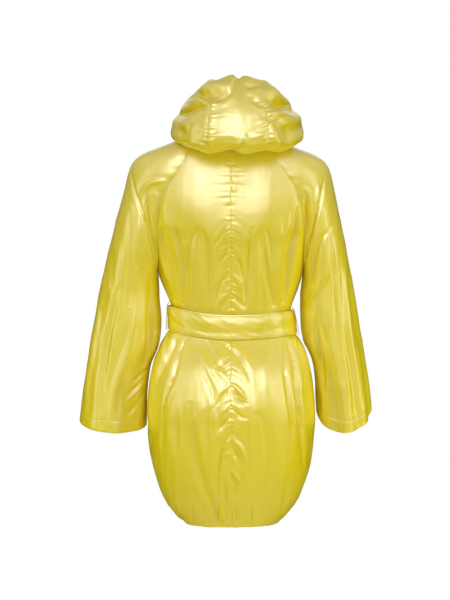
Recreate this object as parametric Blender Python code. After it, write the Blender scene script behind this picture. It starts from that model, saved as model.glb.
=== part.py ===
"""Short hooded coat in satin, standing in its worn shape with nobody in it.

Metres, +Z up, the coat faces -Y and its left sleeve lies towards +X. The origin is where the wearer
holds it up: the middle of the neck, level with the points where the shoulders meet it. Heights are
given as drops, which are distances below that level. Round the body a place is given as its wrap:
0 at the centre back, 1 at the side and 2 at the centre front.
"""

import math

import bmesh
import bpy
import numpy as np
from mathutils import Vector
from mathutils.bvhtree import BVHTree
from mathutils.kdtree import KDTree

# Driving sizes
WALL = 0.0018  # cloth with its seam allowances
SEAM = 0.0004  # between two pieces that are sewn together
SEAM_REACH = 0.002  # within which two rims count as one seam
HEM_DROP = 0.858
UNDERARM_DROP = 0.316
LEFT, RIGHT = 1, -1
SIDES = {LEFT: "left", RIGHT: "right"}
SQUARENESS = 2.2  # of the body's rings: 2 is an ellipse

# Rings of the body. half_left and half_right are its half widths, back and front its half depths.
BODY_RINGS = (
    # drop, half_left, half_right, back, front
    (-0.010, 0.076, 0.076, 0.070, 0.028),
    (0.000, 0.082, 0.082, 0.078, 0.034),
    (0.033, 0.150, 0.150, 0.094, 0.048),
    (0.066, 0.185, 0.185, 0.106, 0.064),
    (0.110, 0.200, 0.200, 0.115, 0.092),
    (0.143, 0.202, 0.202, 0.119, 0.108),
    (0.176, 0.197, 0.197, 0.121, 0.121),
    (0.209, 0.189, 0.189, 0.120, 0.129),
    (0.242, 0.179, 0.179, 0.116, 0.132),
    (0.275, 0.169, 0.169, 0.111, 0.130),
    (0.300, 0.162, 0.162, 0.106, 0.125),
    (0.316, 0.1585, 0.1575, 0.103, 0.121),
    (0.345, 0.1470, 0.1475, 0.098, 0.113),
    (0.385, 0.1315, 0.1330, 0.092, 0.103),
    (0.405, 0.1280, 0.1290, 0.089, 0.099),
    (0.425, 0.1300, 0.1305, 0.087, 0.097),
    (0.445, 0.1390, 0.1400, 0.087, 0.099),
    (0.460, 0.1480, 0.1490, 0.092, 0.106),
    (0.480, 0.1580, 0.1600, 0.108, 0.120),
    (0.517, 0.1715, 0.1725, 0.139, 0.144),
    (0.560, 0.1785, 0.1795, 0.157, 0.159),
    (0.605, 0.1815, 0.1820, 0.164, 0.165),
    (0.650, 0.1820, 0.1825, 0.163, 0.165),
    (0.693, 0.1795, 0.1795, 0.158, 0.160),
    (0.737, 0.1715, 0.1735, 0.149, 0.151),
    (0.780, 0.1590, 0.1600, 0.136, 0.138),
    (0.803, 0.1490, 0.1505, 0.127, 0.130),
    (0.825, 0.1370, 0.1370, 0.118, 0.121),
    (0.845, 0.1185, 0.1185, 0.107, 0.109),
    (0.870, 0.0900, 0.0920, 0.094, 0.095),
)

# How far from the centre the raglan seams run, behind and in front.
RAGLAN = (
    # drop, behind, in_front
    (0.000, 0.057, 0.060),
    (0.033, 0.075, 0.072),
    (0.066, 0.0935, 0.088),
    (0.110, 0.121, 0.108),
    (0.143, 0.141, 0.126),
    (0.176, 0.151, 0.140),
    (0.209, 0.1555, 0.1495),
    (0.242, 0.1575, 0.1555),
    (0.275, 0.1580, 0.1575),
    (0.300, 0.1575, 0.1575),
)

# The neck seam: at the centre back, the centre front and the front raglan seams.
NECK_BACK_DROP, NECK_FRONT_DROP = -0.004, 0.058
RAGLAN_FRONT_DROP = 0.012

# The sleeve from neck to cuff: its outer line, its underarm line and its front-to-back half depth.
# Down to the row at which underarm is 1 the section is open along the raglan seams.
SLEEVE_ROWS = (
    # row, out_left, out_right, out_drop, in_left, in_right, in_drop, middle, half_depth
    (0, 0.070, 0.070, 0.002, 0.0, 0.0, 0.000, 0.008, 0.050),
    (1, 0.112, 0.112, 0.019, 0.0, 0.0, 0.033, 0.007, 0.055),
    (2, 0.152, 0.150, 0.034, 0.0, 0.0, 0.066, 0.006, 0.060),
    (3, 0.187, 0.183, 0.046, 0.0, 0.0, 0.100, 0.005, 0.062),
    (4, 0.2115, 0.2050, 0.063, 0.0, 0.0, 0.135, 0.004, 0.063),
    (5, 0.2235, 0.2165, 0.087, 0.0, 0.0, 0.170, 0.003, 0.064),
    (6, 0.2315, 0.2245, 0.122, 0.0, 0.0, 0.203, 0.002, 0.064),
    (7, 0.2425, 0.2335, 0.163, 0.0, 0.0, 0.235, 0.000, 0.064),
    (8, 0.2550, 0.2430, 0.207, 0.0, 0.0, 0.265, -0.002, 0.064),
    (9, 0.2675, 0.2530, 0.258, 0.0, 0.0, 0.292, -0.003, 0.064),
    (10, 0.2805, 0.2640, 0.312, 0.1615, 0.1595, 0.316, -0.004, 0.064),
    (12, 0.2915, 0.2735, 0.365, 0.1575, 0.1520, 0.366, -0.006, 0.065),
    (14, 0.3005, 0.2820, 0.418, 0.1530, 0.1530, 0.418, -0.008, 0.066),
    (16, 0.3095, 0.2890, 0.465, 0.1580, 0.1590, 0.468, -0.011, 0.067),
    (18, 0.3170, 0.2965, 0.515, 0.1775, 0.1785, 0.518, -0.014, 0.068),
    (20, 0.3265, 0.3040, 0.575, 0.1845, 0.1855, 0.575, -0.017, 0.069),
    (22, 0.3340, 0.3110, 0.640, 0.1870, 0.1880, 0.648, -0.020, 0.070),
)
SHOULDER_LOWER = {LEFT: 0.004, RIGHT: 0.010}  # the shoulders of this coat aren't level
OPEN_ROWS = 10  # rows of the sleeve, and of the body, above the underarm
CUFF_LIFT = {LEFT: 0.0, RIGHT: 0.032}  # how much higher the right cuff hangs at its sides
CUFF_SAG = {LEFT: 0.018, RIGHT: 0.050}  # and how far each dips behind

# Grid of the cloth
BODY_DROPS_BELOW = (
    0.345, 0.371, 0.392, 0.413, 0.434, 0.452, 0.470, 0.492, 0.520, 0.555,
    0.595, 0.640, 0.685, 0.730, 0.772, 0.806, 0.834, 0.858,
)  # fmt: skip
BACK_COLUMNS, FRONT_COLUMNS = 11, 9
RUCHES_PER_ROW = 2  # gathers of the centre back seam in each row of the body
RUCHE_STEPS = 2 * RUCHES_PER_ROW  # a crest and a hollow for each
RUCHE_WIDTHS = (0.0, 0.014)  # columns beside that seam which carry them
RUCHE_SIZES = (0.0022, 0.0034)
SLEEVE_COLUMNS = 18
OVERLAP = 0.060  # of the right front over the left one
UNDERLAP_DEPTH = 0.0045  # how far the left front's edge lies beneath it
UNDERLAP_FADE = 0.035

# Folds that fall from the shoulders, spread from the belt and close in at the hem. A positive
# depth is a trough, a negative one a ridge.
BODY_FOLDS = (
    # side, wrap_top, wrap_bottom, drop_top, drop_bottom, depth, half_width
    (LEFT, 0.35, 0.29, 0.200, 0.390, 0.0060, 0.016),
    (LEFT, 0.62, 0.58, 0.205, 0.392, 0.0075, 0.016),
    (LEFT, 0.86, 0.84, 0.225, 0.385, 0.0060, 0.014),
    (LEFT, 1.20, 1.24, 0.250, 0.390, 0.0050, 0.015),
    (LEFT, 1.50, 1.48, 0.230, 0.395, 0.0070, 0.016),
    (RIGHT, 0.20, 0.17, 0.210, 0.400, 0.0055, 0.015),
    (RIGHT, 0.46, 0.42, 0.230, 0.395, 0.0070, 0.016),
    (RIGHT, 0.76, 0.72, 0.180, 0.390, 0.0080, 0.017),
    (RIGHT, 1.16, 1.20, 0.250, 0.390, 0.0050, 0.015),
    (RIGHT, 1.46, 1.48, 0.230, 0.395, 0.0070, 0.016),
    (LEFT, 0.72, 0.92, 0.452, 0.660, 0.0110, 0.019),
    (LEFT, 0.32, 0.22, 0.470, 0.620, 0.0050, 0.018),
    (LEFT, 0.50, 0.14, 0.600, 0.850, 0.0085, 0.022),
    (LEFT, 1.16, 1.12, 0.460, 0.760, 0.0070, 0.019),
    (LEFT, 1.46, 1.50, 0.460, 0.800, 0.0090, 0.020),
    (RIGHT, 0.26, 0.36, 0.470, 0.620, 0.0045, 0.018),
    (RIGHT, 0.66, 0.82, 0.450, 0.800, 0.0110, 0.018),
    (RIGHT, 0.50, 0.38, 0.620, 0.850, 0.0060, 0.022),
    (RIGHT, 1.18, 1.14, 0.480, 0.740, 0.0065, 0.019),
    (RIGHT, 1.48, 1.52, 0.460, 0.800, 0.0090, 0.020),
)
BELT_HALF_HEIGHT = 0.026
FOLD_RETURN = 0.030  # how far from the belt the folds it presses flat are whole again
WAIST_PLEAT, WAIST_PLEAT_REACH = 0.0018, 0.050  # small pleats drawn in by the belt
HEM_GATHER, HEM_GATHER_REACH = 0.0034, 0.045  # and by the hem's elastic

# Folds that run down the sleeve: the turn is 0 at the underarm, 0.5 at the outer line.
SLEEVE_FOLDS = (
    # side, turn_top, turn_bottom, row_top, row_bottom, depth, half_width
    (LEFT, 0.13, 0.10, 3.0, 12.0, 0.0090, 0.012),
    (LEFT, 0.22, 0.30, 10.0, 22.5, 0.0045, 0.018),
    (LEFT, 0.10, 0.16, 12.0, 22.5, 0.0050, 0.016),
    (LEFT, 0.36, 0.40, 6.0, 22.5, 0.0035, 0.020),
    (LEFT, 0.62, 0.64, 5.0, 22.5, 0.0050, 0.020),
    (LEFT, 0.86, 0.88, 3.0, 12.0, 0.0080, 0.013),
    (LEFT, 0.80, 0.78, 12.0, 22.5, 0.0050, 0.018),
    (RIGHT, 0.13, 0.10, 3.0, 12.0, 0.0090, 0.012),
    (RIGHT, 0.18, 0.22, 11.0, 22.5, 0.0060, 0.016),
    (RIGHT, 0.30, 0.33, 13.0, 22.5, 0.0065, 0.013),
    (RIGHT, 0.42, 0.45, 12.0, 22.5, 0.0070, 0.014),
    (RIGHT, 0.64, 0.66, 5.0, 22.5, 0.0050, 0.020),
    (RIGHT, 0.86, 0.88, 3.0, 12.0, 0.0080, 0.013),
    (RIGHT, 0.80, 0.76, 12.0, 22.5, 0.0050, 0.018),
)

# The hood, thrown back. For each turn from the centre back, the way that its cloth takes from the
# neck seam, under the pouch, up over the roll and down inside to its edge: distances out from the
# neck's axis, and heights over the neck.
HOOD_TURNS = (0, 25, 55, 90, 125, 150, 172)
HOOD_OUT = (
    # seam, tuck, pouch, bulge, back, slope, shoulder, roll, inside, edge
    (0.076, 0.108, 0.148, 0.182, 0.194, 0.184, 0.156, 0.122, 0.098, 0.086),
    (0.076, 0.108, 0.148, 0.180, 0.190, 0.172, 0.140, 0.106, 0.086, 0.076),
    (0.076, 0.106, 0.142, 0.163, 0.165, 0.145, 0.116, 0.089, 0.073, 0.065),
    (0.074, 0.098, 0.121, 0.136, 0.137, 0.121, 0.099, 0.080, 0.067, 0.060),
    (0.072, 0.090, 0.108, 0.118, 0.118, 0.108, 0.094, 0.079, 0.067, 0.059),
    (0.068, 0.080, 0.094, 0.102, 0.103, 0.097, 0.088, 0.077, 0.067, 0.060),
    (0.066, 0.072, 0.080, 0.085, 0.086, 0.083, 0.078, 0.072, 0.066, 0.061),
)
HOOD_HEIGHT = (
    (0.005, -0.036, -0.063, -0.050, -0.014, 0.032, 0.074, 0.102, 0.092, 0.058),
    (0.004, -0.035, -0.061, -0.046, -0.010, 0.036, 0.078, 0.104, 0.092, 0.060),
    (0.003, -0.024, -0.042, -0.030, 0.000, 0.038, 0.070, 0.088, 0.078, 0.050),
    (0.003, -0.005, -0.012, 0.000, 0.022, 0.046, 0.066, 0.078, 0.068, 0.042),
    (-0.008, -0.010, -0.009, 0.002, 0.018, 0.036, 0.051, 0.060, 0.051, 0.028),
    (-0.030, -0.030, -0.026, -0.016, -0.004, 0.010, 0.022, 0.029, 0.020, 0.002),
    (-0.050, -0.049, -0.044, -0.036, -0.028, -0.018, -0.010, -0.006, -0.012, -0.024),
)
HOOD_SEAM_TURN = 19.5  # of the two gathered seams beside the centre panel
HOOD_SHIFT = -0.014  # the hood lies a little over to the right
HOOD_ROWS = 22
HOOD_CENTRE_COLUMNS = 6
HOOD_SIDE_COLUMNS = (9, 6)  # behind and in front of the front raglan seam
HOOD_GATHER, HOOD_GATHER_REACH = 0.0030, 7.0
HOOD_GAP = 0.0010  # between the hood and the top edge of the body
HOOD_REST = 0.0065  # between its underside and the shoulders
NECK_CENTRE = 0.006  # the hood's turns are measured about this place in front of +Y 0

# Rolls in which the hood slumps: along is from 0 at the neck seam to 1 at the edge.
HOOD_ROLLS = (
    # turn_from, turn_to, along_from, along_to, depth, half_width
    (8, 75, 0.70, 0.62, 0.0100, 0.034),
    (22, 100, 0.56, 0.50, 0.0080, 0.030),
    (40, 120, 0.44, 0.40, 0.0040, 0.030),
    (-10, -60, 0.66, 0.62, 0.0060, 0.032),
    (-22, -100, 0.58, 0.54, 0.0100, 0.032),
    (-24, -90, 0.45, 0.42, 0.0050, 0.030),
    (2, -14, 0.24, 0.30, 0.0060, 0.030),
    (-4, 22, 0.30, 0.24, 0.0050, 0.028),
    (1, 3, 0.66, 0.86, 0.0080, 0.050),
)

# Belt
BELT_BACK_DROP, BELT_FRONT_DROP = 0.433, 0.418  # of its middle line
BELT_SIDE_DROP = {LEFT: 0.410, RIGHT: 0.421}
BELT_COLUMNS = 10  # in each quarter
BELT_CLEAR = 0.0026  # from the body's cloth
BELT_WALL = 0.0022
BELT_RELIEF = (
    # across, rise
    (-1.0, 0.0002),
    (-0.70, 0.0024),
    (-0.30, 0.0008),
    (0.15, 0.0002),
    (0.60, 0.0022),
    (1.0, 0.0002),
)
KNOT_WRAP = 1.93  # on the left side
KNOT_HALF_WIDTH, KNOT_HALF_HEIGHT, KNOT_RISE = 0.025, 0.031, 0.024
KNOT_GAP = 0.0006
KNOT_GRID = 8
BELT_ENDS = {
    # side: shift at the knot, shift at the bottom, length
    LEFT: (0.0135, 0.046, 0.270),
    RIGHT: (-0.0135, -0.040, 0.235),
}
END_HALF_WIDTH = 0.024
END_ROWS, END_COLUMNS = 12, 4
END_CLEAR = 0.0016
LOOP_THICKNESS = 0.0014  # of the thread carriers
LOOP_SPAN = 0.005  # past the belt's edges

COLOURS = {
    "satin": ((0.72, 0.62, 0.06, 1.0), 0.34),
    "thread": ((0.60, 0.52, 0.10, 1.0), 0.60),
}


def smooth(keys, values):
    """A function through the values that doesn't swing past them between the keys."""
    keys = np.asarray(keys, float)
    values = np.asarray(values, float).reshape(len(keys), -1)
    step = np.diff(keys)[:, None]
    rise = np.diff(values, axis=0) / step
    slope = np.zeros_like(values)
    slope[0], slope[-1] = rise[0], rise[-1]
    product = rise[:-1] * rise[1:]
    total = np.where(product > 0, rise[:-1] + rise[1:], 1.0)
    slope[1:-1] = np.where(product > 0, 2 * product / total, 0.0)

    def at(key):
        key = float(np.clip(key, keys[0], keys[-1]))
        i = int(min(np.searchsorted(keys, key, side="right") - 1, len(keys) - 2))
        h = float(step[i, 0])
        t = (key - keys[i]) / h
        first = (1 + 2 * t) * (1 - t) ** 2 * values[i] + t * (1 - t) ** 2 * h * slope[i]
        second = t * t * (3 - 2 * t) * values[i + 1] + t * t * (t - 1) * h * slope[i + 1]
        return first + second

    return at


def ease(low, high, value):
    """0 at low, 1 at high, and smooth between."""
    t = min(1.0, max(0.0, (value - low) / (high - low)))
    return t * t * (3 - 2 * t)


def vary(number, salt=0.0):
    """A steady scatter from -1 to 1, so that repeats aren't all alike."""
    return math.sin(12.9898 * number + 78.233 * salt + 1.7) * math.cos(4.1 * number + salt)


ring_at = smooth([r[0] for r in BODY_RINGS], [r[1:] for r in BODY_RINGS])
raglan_at = smooth([r[0] for r in RAGLAN], [r[1:] for r in RAGLAN])
sleeve_at = smooth([r[0] for r in SLEEVE_ROWS], [r[1:] for r in SLEEVE_ROWS])
hood_out_at = smooth(HOOD_TURNS, HOOD_OUT)
hood_height_at = smooth(HOOD_TURNS, HOOD_HEIGHT)
OUTLINE_TURNS = np.linspace(0, math.pi, 241)


class Ring:
    """Half the body's outline at one height, from the centre back round one side to the front."""

    def __init__(self, drop, side):
        half_left, half_right, back, front = ring_at(drop)
        half = half_left if side == LEFT else half_right
        power = 2 / SQUARENESS
        sine, cosine = np.sin(OUTLINE_TURNS), np.cos(OUTLINE_TURNS)
        self.x = half * np.abs(sine) ** power
        depth = np.where(cosine > 0, back, front)
        self.y = depth * np.sign(cosine) * np.abs(cosine) ** power
        lengths = np.hypot(np.diff(self.x), np.diff(self.y))
        self.run = np.concatenate([[0], np.cumsum(lengths)])
        self.quarter = float(self.run[len(self.run) // 2])
        self.half_run = float(self.run[-1])
        self.side, self.drop = side, drop

    def run_of(self, wrap):
        """Length along the outline to a wrap. Past 2 it goes on over the other front."""
        if wrap <= 1:
            return wrap * self.quarter
        return self.quarter + (wrap - 1) * (self.half_run - self.quarter)

    def point(self, wrap):
        """The point at a wrap, and the outline's outward direction there."""
        run = self.run_of(wrap)
        mirrored = run < 0 or run > self.half_run
        run = abs(run) if run < 0 else min(run, 2 * self.half_run - run)
        step = 0.004
        ends = [np.interp(np.clip(run + d, 0, self.half_run), self.run, axis)
                for d in (-step, step) for axis in (self.x, self.y)]
        x, y = np.interp(run, self.run, self.x), np.interp(run, self.run, self.y)
        out = Vector((-(ends[3] - ends[1]), ends[2] - ends[0], 0)).normalized()
        sign = -self.side if mirrored else self.side
        if run < step or run > self.half_run - step:
            out = Vector((0, 1 if run < step else -1, 0))
        return Vector((sign * x, y, -self.drop)), Vector((sign * out.x, out.y, 0))

    def wrap_at(self, distance, in_front):
        """The wrap at which the outline is that far from the centre plane."""
        middle = len(self.run) // 2
        distance = min(distance, float(self.x[middle]))
        if in_front:
            run = np.interp(-distance, -self.x[middle:], self.run[middle:])
            return 1 + (run - self.quarter) / (self.half_run - self.quarter)
        return float(np.interp(distance, self.x[: middle + 1], self.run[: middle + 1])) / self.quarter


def trough(distance, half_width):
    """A soft trough one deep at the middle, with a low ridge along each side."""
    t = distance / half_width
    return math.exp(-t * t) - 0.28 * math.exp(-((abs(t) - 1.9) ** 2))


def belt_drop(side, wrap):
    """The belt's middle line."""
    end = BELT_BACK_DROP if wrap < 1 else BELT_FRONT_DROP
    return BELT_SIDE_DROP[side] + (end - BELT_SIDE_DROP[side]) * abs(math.cos(math.pi * wrap / 2)) ** 1.5


def body_fold(ring, wrap):
    """How far the cloth lies inside the body's ring, for all its folds."""
    inward = 0.0
    for side, top, bottom, drop_top, drop_bottom, depth, half_width in BODY_FOLDS:
        if side != ring.side or not drop_top < ring.drop < drop_bottom:
            continue
        share = (ring.drop - drop_top) / (drop_bottom - drop_top)
        across = ring.run_of(wrap) - ring.run_of(top + (bottom - top) * share)
        inward += depth * trough(across, half_width) * math.sin(math.pi * share) ** 0.7
    from_belt = abs(ring.drop - belt_drop(ring.side, wrap)) - BELT_HALF_HEIGHT
    return inward * ease(0, FOLD_RETURN, from_belt)


def small_pleats(ring, wrap):
    """Height of the pleats that the belt and the hem draw in."""
    from_belt = abs(ring.drop - belt_drop(ring.side, wrap)) - BELT_HALF_HEIGHT
    belted = WAIST_PLEAT * ease(0.002, 0.014, from_belt) * (1 - ease(0.014, WAIST_PLEAT_REACH, from_belt))
    hemmed = HEM_GATHER * (1 - ease(0, HEM_GATHER_REACH, HEM_DROP - ring.drop))
    return (belted + hemmed) * (1 + 0.35 * vary(wrap * 9, ring.side))


def body_point(ring, wrap, deeper=0.0):
    """A point of the body's cloth, with its folds."""
    point, out = ring.point(wrap)
    inward = body_fold(ring, wrap)
    if ring.drop < UNDERARM_DROP:
        seam = seam_wrap(ring, wrap > 1)
        inward *= ease(0, 0.03, abs(ring.run_of(wrap) - ring.run_of(seam)))
    return point - out * (inward + deeper)


def row_drops(centre_drop, seam_drop):
    """Drops of each row of a front or back, at its centre line and at its outer seam."""
    rows = []
    for k in range(OPEN_ROWS + 1):
        share = float(sleeve_at(k)[5]) / UNDERARM_DROP
        rows.append((centre_drop + (UNDERARM_DROP - centre_drop) * share,
                     seam_drop + (UNDERARM_DROP - seam_drop) * share))
    return rows + [(d, d) for d in BODY_DROPS_BELOW]


def seam_wrap(ring, in_front):
    """Where a front or back ends: the raglan seam, or below the underarm the side seam."""
    if ring.drop >= UNDERARM_DROP - 1e-6:
        return 1.0
    return ring.wrap_at(float(raglan_at(ring.drop)[1 if in_front else 0]), in_front)


def between(rows, place):
    """The centre and seam drops at a place between rows, such as 3.25."""
    low = min(int(place), len(rows) - 2)
    share = place - low
    return [a + (b - a) * share for a, b in zip(rows[low], rows[low + 1])]


def ruche_columns(side, rows):
    """The gathers along the centre back seam: crests and hollows that die away from it."""
    columns = []
    last = (len(rows) - 1) * RUCHE_STEPS
    for width, size in zip(RUCHE_WIDTHS, RUCHE_SIZES):
        column = []
        for step in range(last + 1):
            ring = Ring(between(rows, step / RUCHE_STEPS)[0], side)
            height = size * (1 + 0.45 * vary(step // 2, side)) if step % 2 else 0.0
            at_ends = ease(0, 6, step) * (1 - ease(last - 5, last - 1, step))
            from_belt = abs(ring.drop - belt_drop(side, 0)) - BELT_HALF_HEIGHT
            narrowed = narrowing(ring)
            wrap = (width * narrowed + SEAM / 2) / ring.quarter
            column.append((body_point(ring, wrap), height * at_ends * ease(0.004, 0.014, from_belt)))
        columns.append(column)
    return columns


def narrowing(ring):
    """How much closer to the centre the gathers' columns run where the back narrows to the neck."""
    return min(1.0, ring.run_of(seam_wrap(ring, False)) / 0.15)


def back_columns(side):
    """Half the back, from the gathered centre seam to the raglan and side seams."""
    rows = row_drops(NECK_BACK_DROP, 0.0)
    columns = ruche_columns(side, rows)
    for c in range(1, BACK_COLUMNS + 1):
        share = c / BACK_COLUMNS
        column = []
        for centre_drop, seam_drop in rows:
            ring = Ring(centre_drop + (seam_drop - centre_drop) * share, side)
            first = RUCHE_WIDTHS[-1] * narrowing(ring) / ring.quarter
            last = seam_wrap(ring, False) - SEAM / 2 / ring.quarter
            wrap = first + (last - first) * share
            column.append((body_point(ring, wrap), small_pleats(ring, wrap) * (c % 2) * (share < 1)))
        columns.append(column)
    return columns


def front_columns(side):
    """A front. The right one laps over the left one at the centre."""
    rows = row_drops(NECK_FRONT_DROP, RAGLAN_FRONT_DROP)
    lap = OVERLAP / 2
    columns = []
    for c in range(-2, FRONT_COLUMNS + 1):
        share = c / FRONT_COLUMNS
        column = []
        for centre_drop, seam_drop in rows:
            ring = Ring(centre_drop + (seam_drop - centre_drop) * max(share, 0), side)
            last = seam_wrap(ring, True) + SEAM / 2 / ring.quarter
            wrap = 2 + (last - 2) * share if share > 0 else 2 - c / 2 * lap / ring.quarter
            from_centre = ring.half_run - ring.run_of(wrap)
            beneath = 1 - ease(lap, lap + UNDERLAP_FADE, from_centre)
            deeper = UNDERLAP_DEPTH * beneath if side == LEFT else 0.0
            pleat = small_pleats(ring, wrap) * (c % 2) * (0 < share < 1) * (1 - beneath)
            column.append((body_point(ring, wrap, deeper), pleat))
        columns.append(column)
    return columns


def object_in(collection, name, data, colour):
    """An object for a finished mesh or curve, with its own material."""
    made = bpy.data.objects.new(name, data)
    collection.objects.link(made)
    base, roughness = COLOURS[colour]
    material = bpy.data.materials.new(name)
    material.use_nodes = True
    shader = material.node_tree.nodes["Principled BSDF"]
    shader.inputs["Base Color"].default_value = base
    shader.inputs["Roughness"].default_value = roughness
    data.materials.append(material)


def surface(columns, middle, loop=False):
    """An open surface lofted through columns of points, each with the height that it is raised to
    on the outer side. A column may have a whole number of times as many points as its neighbour.
    The faces look away from the middle, a rule that gives a place inside for each face."""
    work = bmesh.new()
    raised = work.verts.layers.float.new("raised")
    made = []
    for column in columns:
        line = [work.verts.new(point) for point, _ in column]
        for vert, (_, height) in zip(line, column):
            vert[raised] = height
        made.append(line)
    for one, other in zip(made, made[1:] + made[:1] if loop else made[1:]):
        few, many = sorted((one, other), key=len)
        ratio = (len(many) - 1) // (len(few) - 1)
        for i in range(len(few) - 1):
            corners = [few[i], few[i + 1], *reversed(many[i * ratio: (i + 1) * ratio + 1])]
            work.faces.new(corners)
    bmesh.ops.remove_doubles(work, verts=work.verts, dist=1e-6)
    bmesh.ops.recalc_face_normals(work, faces=work.faces)
    votes = sum((f.calc_center_median() - middle(f.calc_center_median())).dot(f.normal) * f.calc_area()
                for f in work.faces)
    if votes < 0:
        bmesh.ops.reverse_faces(work, faces=work.faces)
    bmesh.ops.triangulate(work, faces=work.faces)
    work.normal_update()
    return work


def wall_directions(surfaces):
    """The outward direction at each vertex. Where two pieces meet at a seam they share one, so that
    the gap between their walls is even."""
    rims = [(name, v.co.copy(), v.normal.copy()) for name, work in surfaces.items()
            for v in work.verts if v.is_boundary]
    tree = KDTree(len(rims))
    for i, (_, place, _) in enumerate(rims):
        tree.insert(place, i)
    tree.balance()
    directions = {}
    for name, work in surfaces.items():
        own = {}
        for vert in work.verts:
            direction = vert.normal.copy()
            near = tree.find_range(vert.co, SEAM_REACH) if vert.is_boundary else []
            for _, i, _ in near:
                if rims[i][0] != name and rims[i][2].dot(vert.normal) > 0:
                    direction += rims[i][2]
            own[vert] = direction.normalized()
        directions[name] = own
    return directions


def thicken(work, directions, wall):
    """Close a surface into a wall: the raised outer side, a plain inner side and the rims."""
    raised = work.verts.layers.float["raised"]
    outer_faces, rim_edges = list(work.faces), [e for e in work.edges if e.is_boundary]
    inner = {vert: work.verts.new(vert.co - direction * wall) for vert, direction in directions.items()}
    for vert, direction in directions.items():
        vert.co += direction * vert[raised]
    for face in outer_faces:
        work.faces.new([inner[v] for v in reversed(face.verts)])
    for edge in rim_edges:
        first, second = (loop.vert for loop in (edge.link_loops[0], edge.link_loops[0].link_loop_next))
        work.faces.new((second, first, inner[first], inner[second]))


def make_walls(collection, surfaces, walls):
    for name, directions in wall_directions(surfaces).items():
        work = surfaces[name]
        thicken(work, directions, walls.get(name, WALL))
        mesh = bpy.data.meshes.new(name)
        work.to_mesh(mesh)
        work.free()
        mesh.shade_smooth()
        object_in(collection, name, mesh, "satin")


def body_axis(point):
    return Vector((0, 0, point.z))


def sleeve_section(side, row):
    """The section of the sleeve at a row: points from the back seam, over the outside, to the front."""
    outer_left, outer_right, out_drop, in_left, in_right, in_drop, middle, depth = sleeve_at(row)
    lower = SHOULDER_LOWER[side] * ease(0, 1.5, row) * (1 - ease(3, 6, row))
    outer = Vector((outer_left if side == LEFT else outer_right, middle, -out_drop - lower))
    closed = row >= OPEN_ROWS
    if closed:
        inner = Vector((in_left if side == LEFT else in_right, middle, -in_drop))
        ends = (inner, inner)
    else:
        ends = []
        for in_front in (False, True):
            top = RAGLAN_FRONT_DROP if in_front else 0.0
            ring = Ring(top + (UNDERARM_DROP - top) * in_drop / UNDERARM_DROP, side)
            wrap = seam_wrap(ring, in_front) + SEAM / 2 / ring.quarter * (-1 if in_front else 1)
            end = ring.point(wrap)[0]
            ends.append(Vector((abs(end.x), end.y, end.z)))
    tube = ease(3.5, OPEN_ROWS, row)
    cuff = ease(14, 22, row)
    points = []
    for c in range(SLEEVE_COLUMNS + 1):
        turn = c / SLEEVE_COLUMNS
        behind = turn <= 0.5
        start = ends[0] if behind else ends[1]
        share = turn * 2 if behind else (1 - turn) * 2
        sine, cosine = math.sin(math.pi * share / 2), math.cos(math.pi * share / 2)
        # The neck's edge slopes evenly, and the shoulder below it is rounded.
        rise = sine if row > 0 else 1 - cosine
        over = Vector((start.x + (outer.x - start.x) * sine,
                       outer.y + (start.y - outer.y) * cosine,
                       start.z + (outer.z - start.z) * rise))
        swing = (1 - math.cos(math.pi * share)) / 2
        round_ = start.lerp(outer, swing)
        bulge = (1 if behind else -1) * depth * math.sin(math.pi * share)
        round_.y = start.y + (outer.y - start.y) * share + bulge
        point = over.lerp(round_, tube)
        sag = CUFF_SAG[side] * (math.sin(math.pi * share) if behind else 0.25 * math.sin(math.pi * share))
        point.z -= cuff * (sag - CUFF_LIFT[side])
        points.append(point)
    for point in points:
        point.x *= side
    return points


def sleeve_grid(side):
    """Every section of the sleeve, with its folds pressed in along the sections' normals."""
    rows = [sleeve_section(side, row) for row in range(23)]
    folded = []
    for k, section in enumerate(rows):
        lengths = [(b - a).length for a, b in zip(section, section[1:])]
        run = np.concatenate([[0], np.cumsum(lengths)])
        up, down = rows[max(k - 1, 0)], rows[min(k + 1, len(rows) - 1)]
        line = []
        for c, point in enumerate(section):
            before = section[c - 1] if c else (section[-2] if k >= OPEN_ROWS else point)
            after = section[c + 1] if c < len(section) - 1 else (section[1] if k >= OPEN_ROWS else point)
            normal = (after - before).cross(down[c] - up[c]).normalized()
            centre = sum(section, Vector()) / len(section)
            if normal.dot(point - centre) < 0:
                normal.negate()
            inward = sleeve_fold(side, k, run, run[c])
            if k < OPEN_ROWS:
                inward *= ease(0, 0.03, min(run[c], run[-1] - run[c]))
            line.append(point - normal * inward)
        if k >= OPEN_ROWS:
            line[-1] = line[0].copy()
        folded.append(line)
    return folded


def sleeve_fold(side, row, run, here):
    inward = 0.0
    for on, top, bottom, row_top, row_bottom, depth, half_width in SLEEVE_FOLDS:
        if on != side or not row_top < row < row_bottom:
            continue
        share = (row - row_top) / (row_bottom - row_top)
        across = here - run[-1] * (top + (bottom - top) * share)
        across = min((across, across + run[-1], across - run[-1]), key=abs) if row >= OPEN_ROWS else across
        grown = math.sin(math.pi * share) ** 0.6 if row_bottom < 22 else ease(0, 0.6, share)
        inward += depth * trough(across, half_width) * grown
    return inward


def sleeve_columns(side):
    """A raglan sleeve: open along its seams as far as the underarm, and then a tube."""
    rows = sleeve_grid(side)
    return [[(row[c], 0.0) for row in rows] for c in range(SLEEVE_COLUMNS + 1)]


def arm_axis(side):
    """Places down the middle of the shoulder and arm."""

    def middle(point):
        drop = min(max(-point.z, 0.0), 0.65)
        x = np.interp(drop, (0, 0.05, 0.3, 0.65), (0.06, 0.12, 0.21, 0.25))
        return Vector((side * x, -0.005, point.z - (0.03 if drop < 0.1 else 0)))

    return middle


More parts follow.
